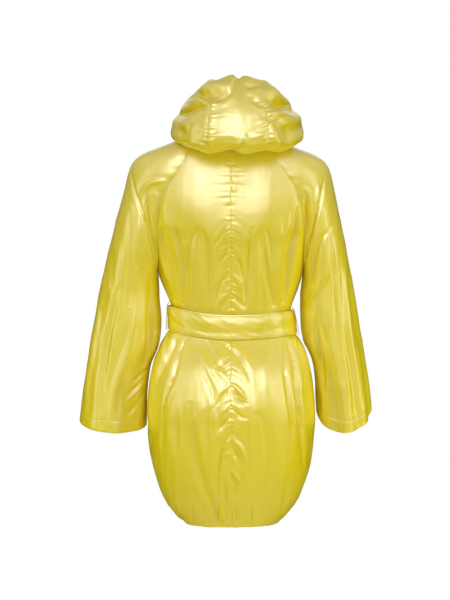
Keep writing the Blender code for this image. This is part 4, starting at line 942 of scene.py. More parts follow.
def drawn_in(lift, sizes, side, place, waist, hem, fuller, shares):
    """The lift with the pleats that belt and hem draw in. place is run, drop and wrap."""
    run, drop, wrap = place
    off_belt = np.maximum(from_belt_edge(side, drop, wrap), 0)
    below = drop > belt_drop(side, wrap)
    lift += sizes.waist_size * waist.height(run, off_belt, 0.0, 0.012, 0.9) \
        * (0.6 + fuller * below) * ease(0.0, 0.010, off_belt) * shares[0]
    to_hem = HEM_DROP - drop
    lift += sizes.hem_size * hem.height(run, to_hem, 0.0, 0.010, 0.9) \
        * (1 - ease(0.06, 0.12, to_hem)) * shares[1]
    return lift


def back_panel(side, settings, gathers):
    """Half the back, from the gathered centre seam to the raglan and side seams."""
    half = BODY[side]
    centre, seam = row_shares(NECK_BACK_DROP, 0.0, settings.grid)
    share = np.concatenate([np.linspace(0, 0.26, 36)[:-1], np.linspace(0.26, 1, 46)])
    drop = centre[:, None] + (seam - centre)[:, None] * share
    last = half.seam_wrap(drop, False)
    wrap = last * share
    points, outs = half.place(drop, wrap)
    points = points - outs * body_folds(side, drop, wrap)[..., None]
    outs = normals(points, axis_of(points))
    away = half.run_of(drop, wrap)
    to_seam = np.abs(half.run_of(drop, last) - away)
    belt = from_belt_edge(side, drop, wrap)
    # Creases first, as large moves, and then the gathers on the creased cloth.
    facing = facing_back(points, outs)
    inward = crease_depth(points, facing, "body") * settings.crease
    to_raglan = np.where(drop < UNDERARM_DROP, to_seam, 1)
    inward *= ease(-0.004, 0.012, belt) * ease(-0.002, 0.010, to_raglan)
    points = points - outs * inward[..., None]
    outs = normals(points, axis_of(points))
    outs[:, 0, 0] = 0
    lift = small_folds(points, 0.0010) * ease(0, 0.03, to_seam)
    # The cloth is taut as far as a line below the shoulder blades, and again over the hips. It
    # stands out a little there and hangs in folds from there on.
    level = points * (1, 1, 0)
    for line, swing, width, seed, height, above in (
            (taut_line_at(points[..., 0])[..., 0], 0.003, 0.014, 33, 0.0045, 0.075),
            (TAUT_SKIRT_DROP, 0.012, 0.030, 38, 0.0026, 0.060)):
        line = line + swing * noise(level, (width, 0.060, 1), seed)
        lift += height * np.exp(-((drop - line) / np.where(drop < line, above, 0.020)) ** 2)
    hung = ease(-0.012, 0.060, drop - FOLDS_DROP) * ease(0.0, 0.02, belt) * ease(0, 0.02, to_seam)
    hung *= 1 - 0.55 * ease(0.44, 0.48, drop) * (1 - ease(0.56, 0.64, drop))
    lift += hung * hanging_folds(points, 0.0009, 34)
    lift *= ease(-0.004, 0.02, belt)
    # Puckers of the centre seam: fine ones by the seam, and broader ones that reach further.
    centre_drop = np.broadcast_to(centre[:, None], drop.shape)
    along = centre_drop - NECK_BACK_DROP
    in_use = ease(0.02, 0.09, along) * (1 - ease(0.815, 0.845, drop)) * ease(0.0, 0.012, belt)
    low = ease(0.17, 0.24, drop)
    lean = 0.55 * low * np.where(drop < BELT_BACK_DROP, 1, 1 - ease(0.66, 0.80, drop))
    wide = Gathers(0.9, 0.0145, 0.015, 21, 0.60, side)
    fine = Gathers(0.9, 0.0086, 0.0085, 23, 0.40, side)
    broad = Gathers(0.9, 0.030, 0.026, 25, 0.6, side)
    upper = 1 - 0.8 * ease(0.66, 0.76, drop)
    lift += gathers.back_size * in_use * (
        0.42 * (1 - low) * wide.height(along, away, 0.0, rise=0.003)
        + 0.46 * low * fine.height(along, away, lean, rise=0.002)
        + 0.24 * low * upper * broad.height(along, away, 1.6 * lean, 0.014, 1.0))
    run = away + 0.002 * noise(points, (0.02, 0.02, 0.02), 31)
    lift = drawn_in(lift, gathers, side, (run, drop, wrap),
                    Gathers(0.5, 0.017, 0.040, 41 + side, 0.5),
                    Gathers(0.5, 0.015, 0.022, 43 + side, 0.6), 0.4,
                    (0.30 + 0.70 * ease(0.085, 0.14, away), 1))
    lift -= 0.0004 * dip(away) + 0.0003 * dip(to_seam)
    lift *= 0.3 + 0.7 * ease(0, 0.008, to_seam)
    points = relaxed(points + outs * lift[..., None])
    points = with_turned_hem(points, settings.turning)
    return points[:, ::-1] if side == RIGHT else points


def front_panel(side, settings, gathers):
    """A front, from the lap at the centre to the raglan and side seams."""
    half = BODY[side]
    centre, seam = row_shares(NECK_FRONT_DROP, RAGLAN_FRONT_DROP, FRONT_STEP)
    lap = OVERLAP / 2
    share = np.concatenate([np.linspace(-2 / 9, 0, 9)[:-1], np.linspace(0, 1, 72)])
    inner = np.clip(share, 0, 1)
    drop = centre[:, None] + (seam - centre)[:, None] * inner
    last = half.seam_wrap(drop, True)
    quarter = half.quarter(drop)
    wrap = np.where(share > 0, 2 + (last - 2) * share, 2 - share * 4.5 * lap / quarter)
    points, outs = half.place(drop, wrap)
    from_centre = half.whole(drop) - half.run_of(drop, wrap)
    beneath = 1 - ease(lap, lap + UNDERLAP_FADE, from_centre)
    deeper = UNDERLAP_DEPTH * beneath if side == LEFT else 0.0
    points = points - outs * (body_folds(side, drop, np.minimum(wrap, 2)) + deeper)[..., None]
    outs = normals(points, axis_of(points))
    to_seam = np.abs(half.run_of(drop, last) - half.run_of(drop, wrap))
    belt = from_belt_edge(side, drop, wrap)
    lift = small_folds(points, 0.0018) * ease(0, 0.03, to_seam) * ease(-0.004, 0.02, belt)
    hung = ease(0.12, 0.26, drop) * ease(0.0, 0.02, belt) * ease(0, 0.02, to_seam)
    lift += hung * (hanging_folds(points, 0.0013, 35)
                    + 0.0012 * crumple(points, (0.035, 0.05, 0.16), 36))
    free = 1 - beneath
    lift = drawn_in(lift, gathers, side, (half.run_of(drop, wrap), drop, wrap),
                    Gathers(0.6, 0.019, 0.045, 51 + side, 0.5),
                    Gathers(0.6, 0.021, 0.050, 53 + side, 0.5), 0.6, (free, free))
    lift -= 0.0003 * dip(to_seam)
    lift *= 0.3 + 0.7 * ease(0, 0.008, to_seam)
    if side == LEFT:
        lift = np.minimum(lift, 0.0006 + 0.004 * free)
    return with_turned_hem(relaxed(points + outs * lift[..., None]), settings.turning)


def sleeve_points(side, row, turn):
    """The sleeve's surface at rows and turns, before its folds. 0 is the underarm or back seam."""
    out_left, out_right, out_drop, in_left, in_right, in_drop, middle, depth = np.moveaxis(
        sleeve_at(row), -1, 0)
    lower = SHOULDER_LOWER[side] * ease(0, 1.5, row) * (1 - ease(3, 6, row))
    outer = np.stack([out_left if side == LEFT else out_right, middle, -out_drop - lower], -1)
    inner = np.stack([in_left if side == LEFT else in_right, middle, -in_drop], -1)
    half = BODY[side]
    starts = []
    for in_front in (False, True):
        top = RAGLAN_FRONT_DROP if in_front else 0.0
        drop = top + (UNDERARM_DROP - top) * np.minimum(in_drop, UNDERARM_DROP) / UNDERARM_DROP
        point = half.place(drop, half.seam_wrap(drop, in_front))[0]
        point[..., 0] = np.abs(point[..., 0])
        closing = ease(9.4, 10.0, row)[..., None]
        starts.append(point * (1 - closing) + inner * closing)
    behind = turn <= 0.5
    start = np.where(behind[..., None], starts[0], starts[1])
    share = np.where(behind, turn * 2, (1 - turn) * 2)
    sine, cosine = np.sin(math.pi * share / 2), np.cos(math.pi * share / 2)
    neck = 1 - ease(0, 1, row)
    rise = sine * (1 - neck) + (1 - cosine) * neck
    over = np.stack([start[..., 0] + (outer[..., 0] - start[..., 0]) * sine,
                     outer[..., 1] + (start[..., 1] - outer[..., 1]) * cosine,
                     start[..., 2] + (outer[..., 2] - start[..., 2]) * rise], -1)
    swing = (1 - np.cos(math.pi * share)) / 2
    round_ = start + (outer - start) * swing[..., None]
    bulge = np.where(behind, 1, -1) * depth * np.sin(math.pi * share)
    round_[..., 1] = start[..., 1] + (outer[..., 1] - start[..., 1]) * share + bulge
    tube = ease(3.5, OPEN_ROWS, row)[..., None]
    points = over * (1 - tube) + round_ * tube
    sag = CUFF_SAG[side] * np.sin(math.pi * share) * np.where(behind, 1, 0.25)
    points[..., 2] -= ease(14, CUFF_ROW, row) * (sag - CUFF_LIFT[side])
    points[..., 0] *= side
    return points


def sleeve_middles(side, points):
    drop = np.clip(-points[..., 2], 0, 0.65)
    x = np.interp(drop, (0, 0.05, 0.3, 0.65), (0.06, 0.12, 0.21, 0.25))
    return np.stack([side * x, np.full_like(x, -0.005), points[..., 2] - 0.03 * (drop < 0.1)], -1)


def blurred_rows(points, reach):
    """The grid blurred a little along its columns, which rounds the shoulder."""
    weights = np.exp(-0.5 * (np.arange(-2 * reach, 2 * reach + 1) / reach) ** 2)
    weights /= weights.sum()
    size = 2 * reach
    before, after = 2 * points[:1] - points[size:0:-1], 2 * points[-1:] - points[-2:-size - 2:-1]
    long = np.concatenate([before, points, after])
    return sum(w * long[k:k + len(points)] for k, w in enumerate(weights))


def sleeve_panel(side, settings):
    """A raglan sleeve, open along its seams as far as the underarm and then a tube."""
    rows = np.concatenate([np.linspace(0, OPEN_ROWS, SLEEVE_OPEN_ROWS)[:-1],
                           np.linspace(OPEN_ROWS, CUFF_ROW, SLEEVE_TUBE_ROWS)])
    turns = np.linspace(0, 1, SLEEVE_COLUMNS + 1)
    turn = np.broadcast_to(turns, (len(rows), len(turns)))
    row = np.broadcast_to(rows[:, None], turn.shape)
    points = sleeve_points(side, row, turn)
    # Even spacing of the columns along each row.
    # Even spacing of the columns along each row.
    run = run_along(points, 1)
    half_way = run[:, [SLEEVE_COLUMNS // 2]]
    even = np.where(turn <= 0.5, turn * 2 * half_way,
                    half_way + (turn * 2 - 1) * (run[:, [-1]] - half_way))
    spaced = [[np.interp(e, r, line) for line in p.T] for e, r, p in zip(even, run, points)]
    points = np.moveaxis(np.array(spaced), 1, 2)
    edges = points[:, [0, -1]].copy()
    points = blurred_rows(points, 3)
    long = (ease(5.5, 8.0, row) * (1 - ease(12.5, 15.5, row)))[..., None]
    points = points + long * (blurred_rows(points, 11) - points) * (0, 1, 0)
    keep = 1 - ease(0, 0.02, np.minimum(run, run[:, [-1]] - run))[..., None]
    own = np.where(turn[..., None] <= 0.5, edges[:, [0]] - points[:, [0]],
                   edges[:, [1]] - points[:, [-1]])
    points = np.where((row < OPEN_ROWS)[..., None], points + own * keep, points)
    tube = rows >= OPEN_ROWS
    points[tube, -1] = points[tube, 0]
    middles = sleeve_middles(side, points)

    def faces(points):
        outs = normals(points, middles)
        outs[tube, 0] = outs[tube, -1] = (outs[tube, 1] + outs[tube, -2]) / 2
        return outs

    run = run_along(points, 1)
    whole = run[:, [-1]]
    outs = faces(points)
    inward = np.zeros(points.shape[:-1])
    for on, top, bottom, row_top, row_bottom, depth, half_width in SLEEVE_FOLDS:
        if on != side:
            continue
        share = np.clip((row - row_top) / (row_bottom - row_top), 0, 1)
        across = run - whole * (top + (bottom - top) * share)
        wrapped = np.where(np.abs(across + whole) < np.abs(across), across + whole, across)
        wrapped = np.where(np.abs(across - whole) < np.abs(wrapped), across - whole, wrapped)
        across = np.where(row >= OPEN_ROWS, wrapped, across)
        grown = np.sin(math.pi * share) ** 0.6 if row_bottom < CUFF_ROW else ease(0, 0.6, share)
        inward += 0.8 * depth * trough(across, half_width) * grown
    to_seam = np.minimum(run, whole - run)
    on_seam = np.where(row < OPEN_ROWS, ease(0, 0.03, to_seam), 1)
    inward *= on_seam
    points = points - outs * inward[..., None]
    outs = faces(points)
    pressed = crease_depth(points, facing_back(points, outs), "sleeve") * settings.crease
    pressed *= np.where(row < OPEN_ROWS, ease(0, 0.012, to_seam), 1)
    pressed[tube, -1] = pressed[tube, 0]
    points = points - outs * pressed[..., None]
    outs = faces(points)
    lift = small_folds(points, 0.0011) * on_seam
    lift += hanging_folds(points, 0.0006, 37) * on_seam * ease(4, 8, row)
    # Small puckers where the raglan seams and the cuff's turning are sewn.
    seam_puckers = Gathers(1.2, 0.016, 0.016, 61 + side, 0.5)
    down = run_along(points[:, 40], 0)[:, None]
    lift += 0.0009 * seam_puckers.height(down + 0 * to_seam, to_seam, 0.4, 0.006, 1.0) \
        * (1 - ease(9, 12, row)) * ease(0.5, 2, row)
    to_stitches = down[-1] - down + 0 * to_seam - CUFF_TURNING
    cuff_puckers = Gathers(0.8, 0.019, 0.022, 63 + side, 0.5)
    lift += 0.0009 * cuff_puckers.height(run, np.abs(to_stitches), 0, 0.004, 1.0)
    lift -= 0.00015 * dip(to_stitches, 0.002)
    lift -= 0.0003 * dip(to_seam)
    lift[tube, -1] = lift[tube, 0]
    points = relaxed(points + outs * lift[..., None])
    points[tube, -1] = points[tube, 0]
    cuff = points[-1]
    centre = cuff.mean(0)
    inward = (centre - cuff) / np.linalg.norm(centre - cuff, axis=-1, keepdims=True)
    turned = [cuff + inward * within + np.array([0, 0, rise]) for within, rise in TURNED_CUFF]
    return np.concatenate([points, np.array(turned)]), stitches(run, to_stitches, len(turned))


def hood_table(turns):
    """Sections of the hood at each turn, evenly spaced along its cloth, and their lengths."""
    tables, lengths = [], []
    for turn in turns:
        section = np.stack([hood_out_at(turn), hood_height_at(turn)], 1)
        line = through(np.arange(10), section, 0.012)(np.linspace(0, 9, 300))
        run = np.concatenate([[0], np.cumsum(np.hypot(*np.diff(line, axis=0).T))])
        at = np.linspace(0, run[-1], HOOD_STEPS + 1)
        tables.append(np.stack([np.interp(at, run, values) for values in line.T], 1))
        lengths.append(run[-1])
    return np.array(tables), np.array(lengths)


HOOD_TABLE, HOOD_LENGTHS = hood_table(np.arange(0.0, HOOD_TURNS[-1] + 1))


def hood_points(turn, along, edge, shoulders):
    """The hood's surface at turns in degrees, positive to the left, and shares of its way."""
    size = np.abs(turn)
    section = bilinear(HOOD_TABLE, size, along * HOOD_STEPS)
    ahead = bilinear(HOOD_TABLE, size, np.minimum(along + 0.01, 1) * HOOD_STEPS)
    behind = bilinear(HOOD_TABLE, size, np.maximum(along - 0.01, 0) * HOOD_STEPS)
    tangent = ahead - behind
    tangent /= np.linalg.norm(tangent, axis=-1, keepdims=True)
    outward = np.stack([tangent[..., 1], -tangent[..., 0]], -1)
    length = np.interp(size, np.arange(len(HOOD_LENGTHS)), HOOD_LENGTHS)
    inward = np.zeros_like(turn)
    for turn_from, turn_to, along_from, along_to, depth, half_width in HOOD_ROLLS:
        share = (turn - turn_from) / (turn_to - turn_from)
        across = (along - along_from - (along_to - along_from) * share) * length
        grown = np.sin(math.pi * np.clip(share, 0, 1)) ** 0.5
        inward += depth * trough(across, half_width * 0.5) * grown
    inward *= ease(0.08, 0.16, along)
    out, height = np.moveaxis(section - outward * inward[..., None], -1, 0)
    top = ease(0.56, 0.74, along) * (1 - ease(0.92, 1.0, along))
    height = height + top * sum(rise * np.exp(-((turn - middle) / width) ** 2)
                                for middle, width, rise in HOOD_TOP)
    low = ease(0.06, 0.18, along) * (1 - ease(0.34, 0.42, along))
    for middle, width, rise in HOOD_BOTTOM:
        height = height + rise * low * np.exp(-((turn - middle) / width) ** 2)
    angle = np.radians(turn)
    shift = HOOD_SHIFT * ease(0.0, 0.3, along) * (1 - ease(120, 172, size))
    points = np.stack([out * np.sin(angle) + shift, NECK_CENTRE + out * np.cos(angle), height], -1)
    start = bilinear(HOOD_TABLE, size, np.zeros_like(along))
    first = np.stack([start[..., 0] * np.sin(angle), NECK_CENTRE + start[..., 0] * np.cos(angle),
                      start[..., 1]], -1)
    sewn = np.stack([np.interp(turn, edge[0], axis) for axis in edge[1:]], -1)
    sewn = sewn + np.array([0, 0, HOOD_GAP])
    points = points + (sewn - first) * (1 - ease(0, 0.22, along))[..., None]
    flat = points.reshape(-1, 3)
    way = along.ravel()
    rest = HOOD_GAP + (HOOD_REST - HOOD_GAP) * ease(0, 0.05, way)
    lifts = np.zeros(len(flat))
    for tree in shoulders:
        for k in np.nonzero((way > 0) & (way < 0.6))[0]:
            x, y, z = flat[k]
            below = tree.ray_cast(Vector((x, y, z + 0.2)), Vector((0, 0, -1)))[0]
            if below:
                lifts[k] = max(lifts[k], below.z + rest[k] - z)
    flat[:, 2] += lifts
    return flat.reshape(points.shape)


def turn_of(points):
    return np.degrees(np.arctan2(points[..., 0], points[..., 1] - NECK_CENTRE))


def hood_middles(points):
    """Places inside the slumped roll, all round."""
    flat = points * (1, 1, 0) - np.array([HOOD_SHIFT, 0, 0])
    turn = np.abs(np.degrees(np.arctan2(flat[..., 0], flat[..., 1])))
    out, height = hood_out_at(turn), hood_height_at(turn)
    reach = (out[..., 4] + out[..., 9]) / 2
    distance = np.maximum(np.linalg.norm(flat, axis=-1, keepdims=True), 1e-9)
    centre = flat / distance * reach[..., None]
    centre[..., 0] += HOOD_SHIFT
    centre[..., 2] = height[..., 5] * 0.6
    return centre


def hood_panel(turns, edge, shoulders, settings, gathers):
    """One panel of the hood, with the gathers of its seams at the turns that they have."""
    along = np.broadcast_to(np.linspace(0, 1, HOOD_ROWS)[:, None], (HOOD_ROWS, len(turns)))
    turn = np.broadcast_to(turns, along.shape)
    points = hood_points(turn, along, edge, shoulders)
    middles = hood_middles(points)
    outs = normals(points, middles)
    facing = facing_back(points, outs) * (1 - ease(0.86, 0.93, along))
    pressed = crease_depth(points, facing, "hood") * settings.crease * ease(0.03, 0.12, along)
    points = points - outs * pressed[..., None]
    outs = normals(points, middles)
    length = np.interp(np.abs(turn), np.arange(len(HOOD_LENGTHS)), HOOD_LENGTHS)
    out_at = np.linalg.norm(points[..., :2] - np.array([HOOD_SHIFT, NECK_CENTRE]), axis=-1)
    away = np.radians(np.abs(np.abs(turn) - HOOD_SEAM_TURN)) * out_at
    in_use = ease(0.10, 0.22, along) * (1 - ease(0.58, 0.72, along))
    run = along * length
    lift = small_folds(points * (1, 1, 1.6), 0.0022) * ease(0.02, 0.15, along)
    for part, here in ((LEFT, turn > 0), (RIGHT, turn <= 0)):
        fine = Gathers(0.5, 0.0090, 0.010, 81 + part, 0.35)
        broad = Gathers(0.5, 0.024, 0.020, 83 + part, 0.5)
        lean = 0.25 * part
        found = 0.9 * fine.height(run, away, lean, 0.002) \
            + 0.25 * broad.height(run, away, lean, 0.012, 1.0)
        lift += gathers.hood_size * found * in_use * here
    lift -= 0.0004 * dip(away) * in_use
    lift *= 0.2 + 0.8 * ease(0, 0.05, along)
    to_stitches = (1 - along) * length - RIM_TURNING
    lift -= 0.0006 * dip(to_stitches, 0.002)
    points = relaxed(points + outs * lift[..., None])
    rim = points[-1]
    inner = rim - outs[-1] * TURNED_GAP
    back = points[-6] - outs[-6] * 0.0030
    round_rim = (rim + inner) / 2 + (points[-1] - points[-2]) * 0.25
    points = np.concatenate([points, [round_rim, inner, (inner + back) / 2, back]])
    return points, stitches(np.radians(turn) * out_at[-1], to_stitches, 4)


def on_belt(side, wrap, across, proud):
    """Places on the belt, which runs straight between the heights where its edges rest."""
    middle = belt_drop(side, wrap)
    upper = BODY[side].place(middle - BELT_HALF_HEIGHT, wrap)
    lower = BODY[side].place(middle + BELT_HALF_HEIGHT, wrap)
    share = ((across + 1) / 2)[..., None]
    out = upper[1] + lower[1]
    out /= np.linalg.norm(out, axis=-1, keepdims=True)
    out = out * (BELT_CLEAR + BELT_WALL + proud)[..., None]
    return upper[0] * (1 - share) + lower[0] * share + out


def belt_panel():
    """The belt, all round, as a closed grid: rows across it and columns round the body."""
    rows = np.linspace(-1, 1, BELT_ROWS)
    at = np.linspace(0, 4, BELT_COLUMNS + 1)
    side_of = np.where(at <= 2, LEFT, RIGHT)
    wrap = np.where(at <= 2, at, 4 - at)
    across = np.broadcast_to(rows[:, None], (len(rows), len(at)))
    wraps = np.broadcast_to(wrap, across.shape)
    sides = np.broadcast_to(side_of, across.shape)
    run = at / 4 * BELT_LENGTH
    runs = np.broadcast_to(run, across.shape)
    body = 1 - np.abs(across) ** 6
    waver = 0.10 * noise(np.stack([runs, 0 * runs, 0 * runs], -1), 0.06, 81)
    rise = belt_relief_at(np.clip(across + waver * body, -1, 1))[..., 0] - 0.0012 * across
    place = np.stack([runs, across * 0.03 + runs * 0.35, 0 * runs], -1)
    from_side = np.broadcast_to(np.minimum(np.abs(at - 1), np.abs(at - 3)), across.shape)
    ends = 0.35 + 0.65 * np.exp(-(from_side / 0.42) ** 2)
    rise = rise + 0.0009 * ends * body * crumple(place, (0.050, 0.018, 1), 82)
    rise = rise + 0.0005 * ends * body * crumple(place, (0.022, 0.010, 1), 83)
    rise = rise - 0.0005 * dip(np.abs(across) - BELT_STITCHED, 0.03)
    # It is drawn in by its carriers at the sides.
    rise = rise + 0.0010 * body * dip(from_side * BELT_LENGTH / 4 - 0.012, 0.006)
    points = np.where((sides == LEFT)[..., None], on_belt(LEFT, wraps, across, rise),
                      on_belt(RIGHT, wraps, across, rise))
    points[:, -1] = points[:, 0]
    return points, stitches(runs, (np.abs(across) - BELT_STITCHED) * BELT_HALF_HEIGHT)


def knot_panel():
    """The knot: a soft dome with a band slanting over it and folds running into it."""
    u = np.linspace(-1, 1, KNOT_ROWS)[None, :]
    v = np.linspace(-1, 1, KNOT_ROWS)[:, None]
    x, y = u * np.sqrt(1 - v * v / 2), v * np.sqrt(1 - u * u / 2)
    quarter = float(BODY[LEFT].quarter(BELT_FRONT_DROP))
    wrap = KNOT_WRAP - x * KNOT_HALF_WIDTH / quarter
    proud = np.full_like(wrap, KNOT_STAND_OFF)
    y_on_belt = y * KNOT_HALF_HEIGHT / BELT_HALF_HEIGHT
    base = on_belt(LEFT, wrap, y_on_belt, proud)
    out = on_belt(LEFT, wrap, y_on_belt, proud + 0.001) - base
    out /= np.linalg.norm(out, axis=-1, keepdims=True)
    dome = np.sqrt(np.maximum(0.0, 1 - x * x - y * y))
    slant = y - 0.55 * x - 0.10
    band = np.exp(-(slant / 0.42) ** 6)
    edge = np.exp(-((np.abs(slant) - 0.46) / 0.07) ** 2)
    turned = x + 0.55 * y
    folds = np.abs(np.sin(turned * 5.5 + 0.7)) ** 0.7 * (1 - band) \
        + np.abs(np.sin(slant * 8.0 + 1.1)) ** 0.8 * band
    relief = 0.80 + 0.16 * band - 0.20 * edge + 0.08 * folds
    height = KNOT_RISE * dome * relief * (0.86 + 0.14 * y)
    return base + out * np.minimum(height, KNOT_RISE * 0.97)[..., None]


def belt_end_panel(end):
    """A hanging end of the belt, narrow at the knot and soft as it lies down the skirt."""
    shift_top, shift_bottom, length = BELT_ENDS[end]
    start = BELT_FRONT_DROP + KNOT_HALF_HEIGHT + 0.0006
    across = np.broadcast_to(np.linspace(-1, 1, END_COLUMNS), (END_ROWS, END_COLUMNS))
    share = np.broadcast_to(np.linspace(0, 1, END_ROWS)[:, None], across.shape)
    drop = start + length * share + 0.010 * across * share * end
    quarter = BODY[LEFT].quarter(drop)
    half_width = END_HALF_WIDTH * (0.48 + 0.52 * ease(0, 0.45, share))
    shift = shift_top + (shift_bottom - shift_top) * ease(-0.2, 1, share)
    wrap = KNOT_WRAP - (shift + across * half_width) / quarter
    crossed = wrap > 2
    left = BODY[LEFT].place(drop, np.minimum(wrap, 2))
    right = BODY[RIGHT].place(drop, 4 - np.maximum(wrap, 2))
    place = np.where(crossed[..., None], right[0], left[0])
    out = np.where(crossed[..., None], right[1], left[1])
    proud = BELT_CLEAR + BELT_WALL + KNOT_STAND_OFF
    lift = END_CLEAR + 0.0042 + 0.003 * ease(0.6, 1, share)
    lift = lift + (proud - lift) * (1 - ease(0, 0.12, share))
    ripple = 0.0035 * (1 - np.abs(across)) * (0.5 + 0.5 * np.sin(9 * share + end))
    ripple = ripple * ease(0, 0.2, share)
    run = share * length
    at = np.stack([across * half_width, run, 0 * run + end], -1)
    lengthwise = np.abs(np.sin(across * 6.5 + 0.8 * end + 2.2 * share)) ** 0.8
    lengthwise = lengthwise * (1 - ease(0.05, 0.6, share))
    ripple = ripple + 0.0022 * lengthwise * (1 - across ** 4)
    ripple = ripple + (0.0008 * crumple(at, (0.014, 0.05, 1), 91) + 0.0006) * (1 - across ** 6)
    off = np.abs(across) - END_STITCHED
    ripple = ripple - 0.0004 * dip(off, 0.05)
    return place + out * (lift + ripple)[..., None], stitches(run, off * half_width)


def add_node(tree, kind, inputs=None, **settings):
    """A new shader node. Its inputs are values or the outputs of other nodes."""
    node = tree.nodes.new("ShaderNode" + kind)
    for key, value in settings.items():
        setattr(node, key, value)
    return feed(tree, node, inputs or {})


def feed(tree, node, inputs):
    for key, value in inputs.items():
        if isinstance(value, bpy.types.NodeSocket):
            tree.links.new(value, node.inputs[key])
        else:
            node.inputs[key].default_value = value
    return node


def math_node(tree, operation, *values, clamp=False):
    return add_node(tree, "Math", dict(enumerate(values)), operation=operation,
                    use_clamp=clamp).outputs[0]


def mixed(tree, share, first, second):
    """The mix of two colours, given as three or four values or as an output."""
    inputs = {"Factor": share, "A": first, "B": second}
    return add_node(tree, "Mix", inputs, data_type="RGBA").outputs["Result"]


def new_material(name):
    material = bpy.data.materials.new(name)
    material.use_nodes = True
    return material, material.node_tree, material.node_tree.nodes["Principled BSDF"]


def new_group(name, label, default, outputs):
    """A node group with a vector, one number and some numbers as outputs."""
    group = bpy.data.node_groups.new(name, "ShaderNodeTree")
    group.interface.new_socket(name="Vector", in_out="INPUT", socket_type="NodeSocketVector")
    number = group.interface.new_socket(name=label, in_out="INPUT", socket_type="NodeSocketFloat")
    number.default_value = default
    for output in outputs:
        group.interface.new_socket(name=output, in_out="OUTPUT", socket_type="NodeSocketFloat")
    start = group.nodes.new("NodeGroupInput").outputs
    return group, start["Vector"], start[label], group.nodes.new("NodeGroupOutput")


def stretched(tree, vector, factors):
    return add_node(tree, "VectorMath", {0: vector, 1: factors}, operation="MULTIPLY").outputs[0]


def satin_weave_group():
    """Fine lengthwise threads and the soft slubs of satin, as a height."""
    group, vector, threads, end = new_group("satin weave", "Threads", 900.0, ("Height", "Slub"))
    vector = stretched(group, vector, (1.0, 0.16, 1.0))
    fine = add_node(group, "TexNoise", {"Vector": vector, "Scale": threads, "Detail": 2.0})
    slub = add_node(group, "TexNoise", {"Vector": vector, "Scale": 70.0, "Detail": 3.0,
                                        "Roughness": 0.6})
    feed(group, end, {"Height": fine.outputs["Fac"], "Slub": slub.outputs["Fac"]})
    return group


def soft_wrinkle_group():
    """Small uneven wrinkles of limp cloth, as a height."""
    group, vector, scale, end = new_group("soft wrinkles", "Scale", 26.0, ("Height",))
    vector = stretched(group, vector, (1.0, 1.0, 0.45))
    waves = add_node(group, "TexNoise", noise_type="RIDGED_MULTIFRACTAL")
    feed(group, waves, {"Vector": vector, "Scale": scale, "Detail": 2.0, "Roughness": 0.42,
                        "Distortion": 0.6})
    feed(group, end, {"Height": waves.outputs["Fac"]})
    return group


def stitch_group():
    """Stitches along the lines where the map's second value is 1."""
    group, vector, stitch, end = new_group("stitch lines", "Length", 0.0034, ("Stitch", "Pinch"))
    parts = add_node(group, "SeparateXYZ", {0: vector}).outputs
    off = math_node(group, "ABSOLUTE", math_node(group, "SUBTRACT", parts["Y"], 1.0))
    line = math_node(group, "SUBTRACT", 1.5, math_node(group, "MULTIPLY", off, 2200.0), clamp=True)
    pace = math_node(group, "FRACT", math_node(group, "DIVIDE", parts["X"], stitch))
    middle = math_node(group, "ABSOLUTE", math_node(group, "SUBTRACT", pace, 0.5))
    within = math_node(group, "SUBTRACT", 0.38, middle)
    dash = math_node(group, "MULTIPLY", within, 16.0, clamp=True)
    pinch = math_node(group, "SUBTRACT", 1.0, math_node(group, "MULTIPLY", off, 700.0), clamp=True)
    feed(group, end, {"Stitch": math_node(group, "MULTIPLY", line, dash), "Pinch": pinch})
    return group


def satin_material(name, face, tone_and_shade_colour, thread, roughness, shine, groups):
    _, tree, shader = new_material(name)
    place = add_node(tree, "TexCoord").outputs["Object"]
    maps = [add_node(tree, "UVMap", uv_map=label).outputs["UV"] for label in ("weave", "seams")]
    weave, wrinkles, sewn = (add_node(tree, "Group", node_tree=group) for group in groups)
    for node, vector in ((weave, maps[0]), (wrinkles, place), (sewn, maps[1])):
        feed(tree, node, {"Vector": vector})
    slub, stitch, pinch = weave.outputs["Slub"], sewn.outputs["Stitch"], sewn.outputs["Pinch"]
    # The satin is mixed towards its shade colour a little at random, by the cloud and the slubs,
    # and mostly as painted shade in creases and gathers, by how far each point lies in them.
    cloud = add_node(tree, "TexNoise", {"Vector": place, "Scale": 7.0, "Detail": 3.0})
    crease_shade_mask = add_node(tree, "Attribute", attribute_name="crease_shade_mask").outputs["Fac"]
    share = math_node(tree, "MULTIPLY", cloud.outputs["Fac"], 0.14)
    share = math_node(tree, "MULTIPLY_ADD", slub, 0.14, share)
    share = math_node(tree, "MULTIPLY_ADD", crease_shade_mask, 0.75, share, clamp=True)
    satin = mixed(tree, stitch, mixed(tree, share, (*face, 1), (*tone_and_shade_colour, 1)), (*thread, 1))
    rough = math_node(tree, "MULTIPLY_ADD", slub, 0.10, roughness - 0.05)
    rough = math_node(tree, "MULTIPLY_ADD", stitch, 0.15, rough)
    normal = None
    for height, strength, distance in (
            (math_node(tree, "SUBTRACT", stitch, pinch), 0.8, 0.0004),
            (wrinkles.outputs["Height"], 0.30, 0.0004), (weave.outputs["Height"], 0.16, 0.00003)):
        bump = add_node(tree, "Bump", {"Height": height, "Strength": strength,
                                       "Distance": distance})
        if normal is not None:
            tree.links.new(normal, bump.inputs["Normal"])
        normal = bump.outputs["Normal"]
    feed(tree, shader, {
        "Base Color": satin, "Roughness": rough, "Normal": normal, "IOR": 1.5 + 1.15 * shine,
        "Sheen Weight": 0.05 * shine, "Sheen Roughness": 0.35, "Sheen Tint": (1.0, 0.85, 0.20, 1),
        "Coat Weight": 0.45 * shine, "Coat Roughness": 0.27, "Coat IOR": 1.7})


